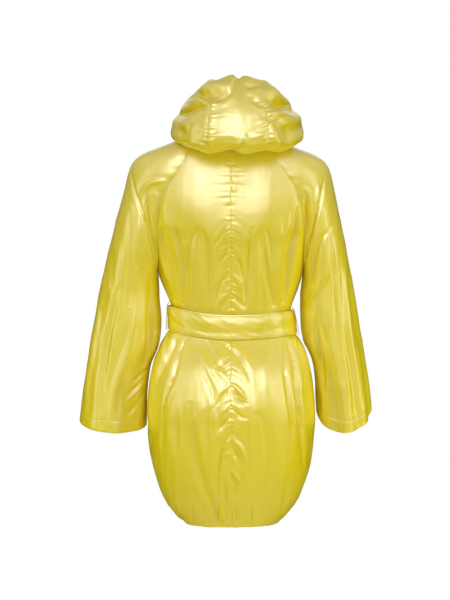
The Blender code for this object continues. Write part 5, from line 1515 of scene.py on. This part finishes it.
def thread_material(thread):
    _, tree, shader = new_material("carrier thread")
    place = add_node(tree, "TexCoord").outputs["Object"]
    twist = add_node(tree, "TexWave", {"Vector": place, "Scale": 420.0, "Distortion": 1.2},
                     bands_direction="DIAGONAL").outputs["Fac"]
    bump = add_node(tree, "Bump", {"Strength": 0.7, "Distance": 0.0004, "Height": twist})
    feed(tree, shader, {
        "Base Color": mixed(tree, twist, (*[c * 0.7 for c in thread], 1), (*thread, 1)),
        "Normal": bump.outputs["Normal"], "Sheen Weight": 0.2,
        "Roughness": math_node(tree, "MULTIPLY_ADD", twist, 0.15, 0.5)})


def coat_materials():
    """The coat's materials, made once."""
    settings = bpy.context.scene.coat_satin
    if "yellow satin" not in bpy.data.materials:
        groups = satin_weave_group(), soft_wrinkle_group(), stitch_group()
        for name, face, roughness, shine in (
                ("yellow satin", settings.face, settings.roughness, 1.0),
                ("wrong side", settings.wrong, WRONG_SIDE_ROUGHNESS, 0.0)):
            satin_material(name, face, settings.tone_and_shade_colour, settings.thread, roughness, shine, groups)
        thread_material(settings.thread)
    return [bpy.data.materials[name] for name in ("yellow satin", "wrong side")]


class COAT_OT_backs(bpy.types.Operator):
    """Make both halves of the back, gathered at the centre seam"""

    bl_idname = "coat.backs"
    bl_label = "Back"

    def execute(self, context):
        scene = context.scene
        for side, word in SIDES.items():
            points = back_panel(side, scene.coat_cloth, scene.coat_gathers)
            sewn_piece("back_" + word, points, axis_of(points), scene.coat_cloth.thickness)
        return {"FINISHED"}


class COAT_OT_fronts(bpy.types.Operator):
    """Make both fronts, the right one lapped over the left"""

    bl_idname = "coat.fronts"
    bl_label = "Fronts"

    def execute(self, context):
        scene = context.scene
        for side, word in SIDES.items():
            points = front_panel(side, scene.coat_cloth, scene.coat_gathers)
            sewn_piece("front_" + word, points, axis_of(points), scene.coat_cloth.thickness)
        return {"FINISHED"}


class COAT_OT_sleeves(bpy.types.Operator):
    """Make both raglan sleeves"""

    bl_idname = "coat.sleeves"
    bl_label = "Sleeves"

    def execute(self, context):
        cloth = context.scene.coat_cloth
        for side, word in SIDES.items():
            points, stitched = sleeve_panel(side, cloth)
            sewn_piece("sleeve_" + word, points, sleeve_middles(side, points), cloth.thickness,
                       stitched=stitched)
        return {"FINISHED"}


def shoulder_grids(side):
    """Coarse grids of a sleeve's upper part, and of the back and front below the neck."""
    turn, share = np.linspace(0, 1, 61), np.linspace(0, 1, 24)
    rows = np.linspace(0, OPEN_ROWS, 60)
    over = sleeve_points(side, *np.broadcast_arrays(rows[:, None], turn[None, :]))
    half, grids = BODY[side], []
    for in_front, neck, raglan in ((False, NECK_BACK_DROP, 0.0),
                                   (True, NECK_FRONT_DROP, RAGLAN_FRONT_DROP)):
        centre, seam = row_shares(neck, raglan, 0.006)
        drop = centre[:50, None] + (seam - centre)[:50, None] * share
        start = 2 if in_front else 0
        grids.append(half.place(drop, start + (half.seam_wrap(drop, in_front) - start) * share)[0])
    return over, *grids


class COAT_OT_hood(bpy.types.Operator):
    """Make the hood's centre panel and two sides, slumped behind the neck"""

    bl_idname = "coat.hood"
    bl_label = "Hood"

    def execute(self, context):
        scene = context.scene
        trees, places = [], []
        for side in SIDES:
            over, back, front = shoulder_grids(side)
            for grid in (over, back, front):
                index = np.arange(grid.size // 3).reshape(grid.shape[:2])
                trees.append(BVHTree.FromPolygons(grid.reshape(-1, 3).tolist(),
                                                  squares(index).tolist()))
            places += [*back[0][1:], *over[0][1:], *front[0][1:]]
        places = np.array(places)
        turns = turn_of(places)
        order = np.argsort(turns)
        edge = np.concatenate([turns[order][None], places[order].T])
        grade = np.concatenate([np.linspace(0, 0.12, 14)[:-1], np.linspace(0.12, 1, 78)])
        wide = HOOD_SEAM_TURN + (HOOD_TURNS[-1] - HOOD_SEAM_TURN) * grade
        for node, turns, flat in (
                ("hood_centre", np.linspace(HOOD_SEAM_TURN, -HOOD_SEAM_TURN, 40), (0.125, 0.42)),
                ("hood_side_left", wide[::-1], (0.26, 0.36)),
                ("hood_side_right", -wide, (0.26, 0.36))):
            points, stitched = hood_panel(turns, edge, trees, scene.coat_cloth, scene.coat_gathers)
            sewn_piece(node, points, hood_middles(points), scene.coat_cloth.thickness,
                       stitched=stitched)
        return {"FINISHED"}


class COAT_OT_belt(bpy.types.Operator):
    """Make the belt, its knot and its two hanging ends"""

    bl_idname = "coat.belt"
    bl_label = "Belt"

    def execute(self, context):
        points, stitched = belt_panel()
        sewn_piece("belt", points, axis_of(points), BELT_THICKNESS,
                   closed=True, stitched=stitched)
        points = knot_panel()
        sewn_piece("belt_knot", points, axis_of(points), context.scene.coat_cloth.thickness)
        for side, word in SIDES.items():
            points, stitched = belt_end_panel(side)
            sewn_piece("belt_end_" + word, points, axis_of(points), END_THICKNESS,
                       stitched=stitched)
        return {"FINISHED"}


class COAT_OT_carriers(bpy.types.Operator):
    """Give the thread carriers at the side seams their finish"""

    bl_idname = "coat.carriers"
    bl_label = "Belt carriers"

    def execute(self, context):
        coat_materials()
        for word in SIDES.values():
            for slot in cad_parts["belt_loop_" + word].material_slots:
                slot.material = bpy.data.materials["carrier thread"]
        return {"FINISHED"}


def add_lamp(collection, name, place, aim_height, size, energy):
    """A soft lamp. One whose name ends in sheen shows in the satin only, the others light only."""
    sheen = name.endswith("sheen")
    light = bpy.data.lights.new(name, "AREA")
    light.shape = "RECTANGLE"
    light.size, light.size_y = size
    light.energy = energy
    lamp = bpy.data.objects.new(name, light)
    lamp.location = place
    lamp.visible_camera = False
    lamp.visible_glossy, lamp.visible_diffuse = sheen, not sheen
    aim = Vector((0, 0, aim_height))
    lamp.rotation_euler = (aim - Vector(place)).to_track_quat("-Z", "Y").to_euler()
    collection.objects.link(lamp)


def studio_world(room):
    """A white backdrop, and a pale light from above that is dimmer ahead and overhead."""
    world = bpy.data.worlds.new("studio")
    world.use_nodes = True
    tree = world.node_tree
    way = add_node(tree, "TexCoord").outputs["Generated"]
    parts = add_node(tree, "SeparateXYZ", {0: way}).outputs
    strength = None
    for value, *span in (
            # direction, from, to, strength there, strength here
            (parts["Z"], 0.08, 0.30, room * 0.02, room),
            (math_node(tree, "ABSOLUTE", parts["X"]), 0.55, 0.95, 1.0, 0.20),
            (parts["Y"], -0.75, -0.10, 0.35, 1.0),
            (parts["Z"], 0.58, 0.95, 1.0, 0.42)):
        inputs = dict(zip(("From Min", "From Max", "To Min", "To Max"), span), Value=value)
        step = add_node(tree, "MapRange", inputs, interpolation_type="SMOOTHSTEP")
        part = step.outputs["Result"]
        strength = math_node(tree, "MULTIPLY", strength, part) if strength is not None else part
    ground = feed(tree, tree.nodes["Background"], {"Color": (1, 1, 1, 1), "Strength": strength})
    white = add_node(tree, "Background", {"Color": (1, 1, 1, 1)})
    seen = add_node(tree, "LightPath").outputs["Is Camera Ray"]
    mix = add_node(tree, "MixShader", {0: seen, 1: ground.outputs[0], 2: white.outputs[0]})
    tree.links.new(mix.outputs[0], tree.nodes["World Output"].inputs["Surface"])
    return world


class COAT_OT_stage(bpy.types.Operator):
    """Set the floor, the soft lights and the camera behind the coat"""

    bl_idname = "coat.stage"
    bl_label = "Stage"

    def execute(self, context):
        settings = context.scene.coat_stage
        bpy.ops.object.select_all(action="DESELECT")
        bpy.ops.mesh.primitive_circle_add(vertices=64, radius=FLOOR_RADIUS, fill_type="NGON",
                                          location=(0, 0, -settings.floor_drop))
        floor = context.active_object
        floor.name = "floor"
        pale, tree, shader = new_material("pale floor")
        feed(tree, shader, {"Base Color": (0.86, 0.86, 0.86, 1), "Roughness": 0.7})
        floor.data.materials.append(pale)
        floor.visible_glossy = False
        for lamps, energy in ((KEY_LAMPS, settings.key), (FILL_LAMPS, settings.fill)):
            for name, place, aim_height, size, share in lamps:
                add_lamp(context.collection, name, place, aim_height, size, energy * share)
        context.scene.world = studio_world(settings.room)
        context.scene.view_settings.view_transform = "Standard"
        context.scene.view_settings.look = "None"
        camera = bpy.data.cameras.new("camera")
        camera.lens, camera.sensor_width = CAMERA_LENS, CAMERA_SENSOR
        eye = bpy.data.objects.new("camera", camera)
        eye.location = (CAMERA_ACROSS, CAMERA_BACK, -CAMERA_DROP)
        eye.rotation_euler = (math.radians(90), 0, math.radians(180))
        context.collection.objects.link(eye)
        context.scene.camera = eye
        return {"FINISHED"}


class COAT_PT_panel(bpy.types.Panel):
    """Steps and sizes of the coat"""

    bl_label = "Hooded coat"
    bl_idname = "COAT_PT_panel"
    bl_space_type = "VIEW_3D"
    bl_region_type = "UI"
    bl_category = "Coat"

    def draw(self, context):
        scene = context.scene
        for group in (scene.coat_cloth, scene.coat_gathers, scene.coat_satin, scene.coat_stage):
            box = self.layout.box()
            for key in group.__annotations__:
                box.prop(group, key)
        for step in STEPS:
            self.layout.operator(step.bl_idname)


STEPS = (COAT_OT_stage, COAT_OT_backs, COAT_OT_fronts, COAT_OT_sleeves, COAT_OT_hood, COAT_OT_belt,
         COAT_OT_carriers)
SETTINGS = {
    "coat_cloth": CoatClothSettings,
    "coat_gathers": CoatGatherSettings,
    "coat_satin": CoatSatinSettings,
    "coat_stage": CoatStageSettings,
}


def register():
    for cls in (*SETTINGS.values(), *STEPS, COAT_PT_panel):
        bpy.utils.register_class(cls)
    for name, cls in SETTINGS.items():
        setattr(bpy.types.Scene, name, PointerProperty(type=cls))


def unregister():
    for name in SETTINGS:
        delattr(bpy.types.Scene, name)
    for cls in (COAT_PT_panel, *reversed(STEPS), *reversed(SETTINGS.values())):
        bpy.utils.unregister_class(cls)


def main():
    register()
    for step in STEPS:
        group, name = step.bl_idname.split(".")
        getattr(getattr(bpy.ops, group), name)()


if __name__ == "__main__":
    main()
